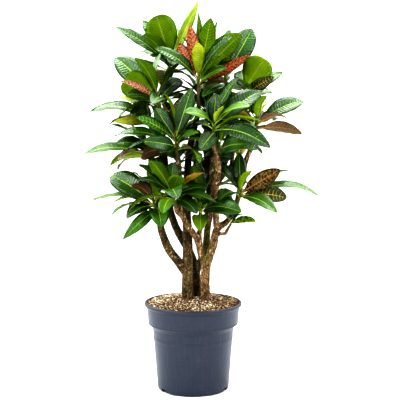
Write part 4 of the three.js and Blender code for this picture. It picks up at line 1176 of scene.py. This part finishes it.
def stemDistance(x, y):  # how far a place on the mound is from the nearest stem, in millimetres
    distances = []
    for rows in stems.values():
        low, high = [Vector(row) for row in rows[0][1][:2]]
        middle = low.lerp(high, (mixForm["edge"][1] - low[2]) / (high[2] - low[2]))
        distances.append(math.hypot(x - middle[0], y - middle[1]) - middle[3])
    return min(distances)


def strewnShare(form, place):  # 1 where chips lie, 0 at the rim, round the stems and under the surface
    x, y, z = place / mm
    inside = within((form["strewnRadius"] - math.hypot(x, y)) / form["fading"] + 1)
    free = within((stemDistance(x, y) - form["bareMargin"]) / form["fading"])
    return inside * free if z > form["edge"][1] - 1 else 0.0


def makeMix():
    form = mixForm
    radius, z = form["edge"]
    shares = [1 - k / form["rings"] for k in range(1, form["rings"])]
    mound = [(radius * share, z + form["mound"] * (1 - share * share)) for share in shares]
    line = form["wall"] + [form["edge"]] + mound + [(0, z + form["mound"])]
    mix = turned("potting_mix_fill", line, form["sides"])
    boreLines = [branchLine(*rows[0])[:form["boreSteps"]] for rows in stems.values()]
    bores = lineObject("stem_bores", boreLines, form["stemGap"])
    addTree(bores, stemTubes, tubeSizes)
    cutAway(mix, asPlainMesh(bores))
    addValues(mix, "strewn", [strewnShare(form, corner.co) for corner in mix.data.vertices])
    addTree(mix, makeMixTree(), {**mixSizes, "Mix": makeMixMaterial()})
    settle(asPlainMesh(mix), "potting_mix")


makeMix()
print("potting mix done")

# Pale floor and soft studio light
studio = {"floorHalf": 1.6, "floorLevel": -0.0005, "floorColor": "fcfcfc", "floorRoughness": 0.7,
          "backdrop": 1.0, "fill": 0.1, "reflected": 0.85}
lightBoxes = {  # place, height aimed at, size and power
    "left_box": ((-1.9, -1.6, 2.0), 0.6, (1.4, 1.8), 63),
    "right_box": ((2.0, -1.3, 1.8), 0.6, (1.2, 1.8), 42),
    "top_box": ((0.0, 0.7, 2.9), 0.7, (2.6, 1.6), 92),
    "back_left_box": ((-1.9, 1.2, 2.0), 0.7, (1.0, 1.6), 42),
    "back_right_box": ((1.9, 1.2, 2.0), 0.7, (1.0, 1.6), 34),
}


def addFloor():
    half, level = studio["floorHalf"], studio["floorLevel"]
    corners = [(-half, -half, level), (half, -half, level), (half, half, level), (-half, half, level)]
    floor = newObject("floor", corners, faces=[(0, 1, 2, 3)])
    material = newMaterial("pale_floor")[0]
    shader = material.node_tree.nodes["Principled BSDF"]
    plug(shader.inputs["Base Color"], studio["floorColor"])
    plug(shader.inputs["Roughness"], studio["floorRoughness"])
    floor.data.materials.append(material)


def addLight(name, place, aimHeight, size, power):
    light = placed(name, bpy.data.lights.new(name, "AREA"))
    light.data.shape = "RECTANGLE"
    light.data.size, light.data.size_y = size
    light.data.energy = power
    light.location = place
    light.rotation_euler = (zAxis * aimHeight - Vector(place)).to_track_quat("-Z", "Y").to_euler()


def addWorld():
    world = bpy.data.worlds.new("studio")
    world.use_nodes = True
    building["tree"] = world.node_tree
    rays = addNode("ShaderNodeLightPath")
    seen, mirrored = Wire(rays.outputs["Is Camera Ray"]), Wire(rays.outputs["Is Glossy Ray"])
    strength = blendTo(studio["fill"], studio["reflected"], mirrored)
    sky = world.node_tree.nodes["Background"]
    plug(sky.inputs["Color"], "ffffff")
    plug(sky.inputs["Strength"], blendTo(strength, studio["backdrop"], seen))
    bpy.context.scene.world = world
    bpy.context.scene.view_settings.view_transform = "Standard"
    bpy.context.scene.view_settings.look = "Very High Contrast"


addWorld()
addFloor()
for boxName, box in lightBoxes.items():
    addLight(boxName, *box)
print("studio done")
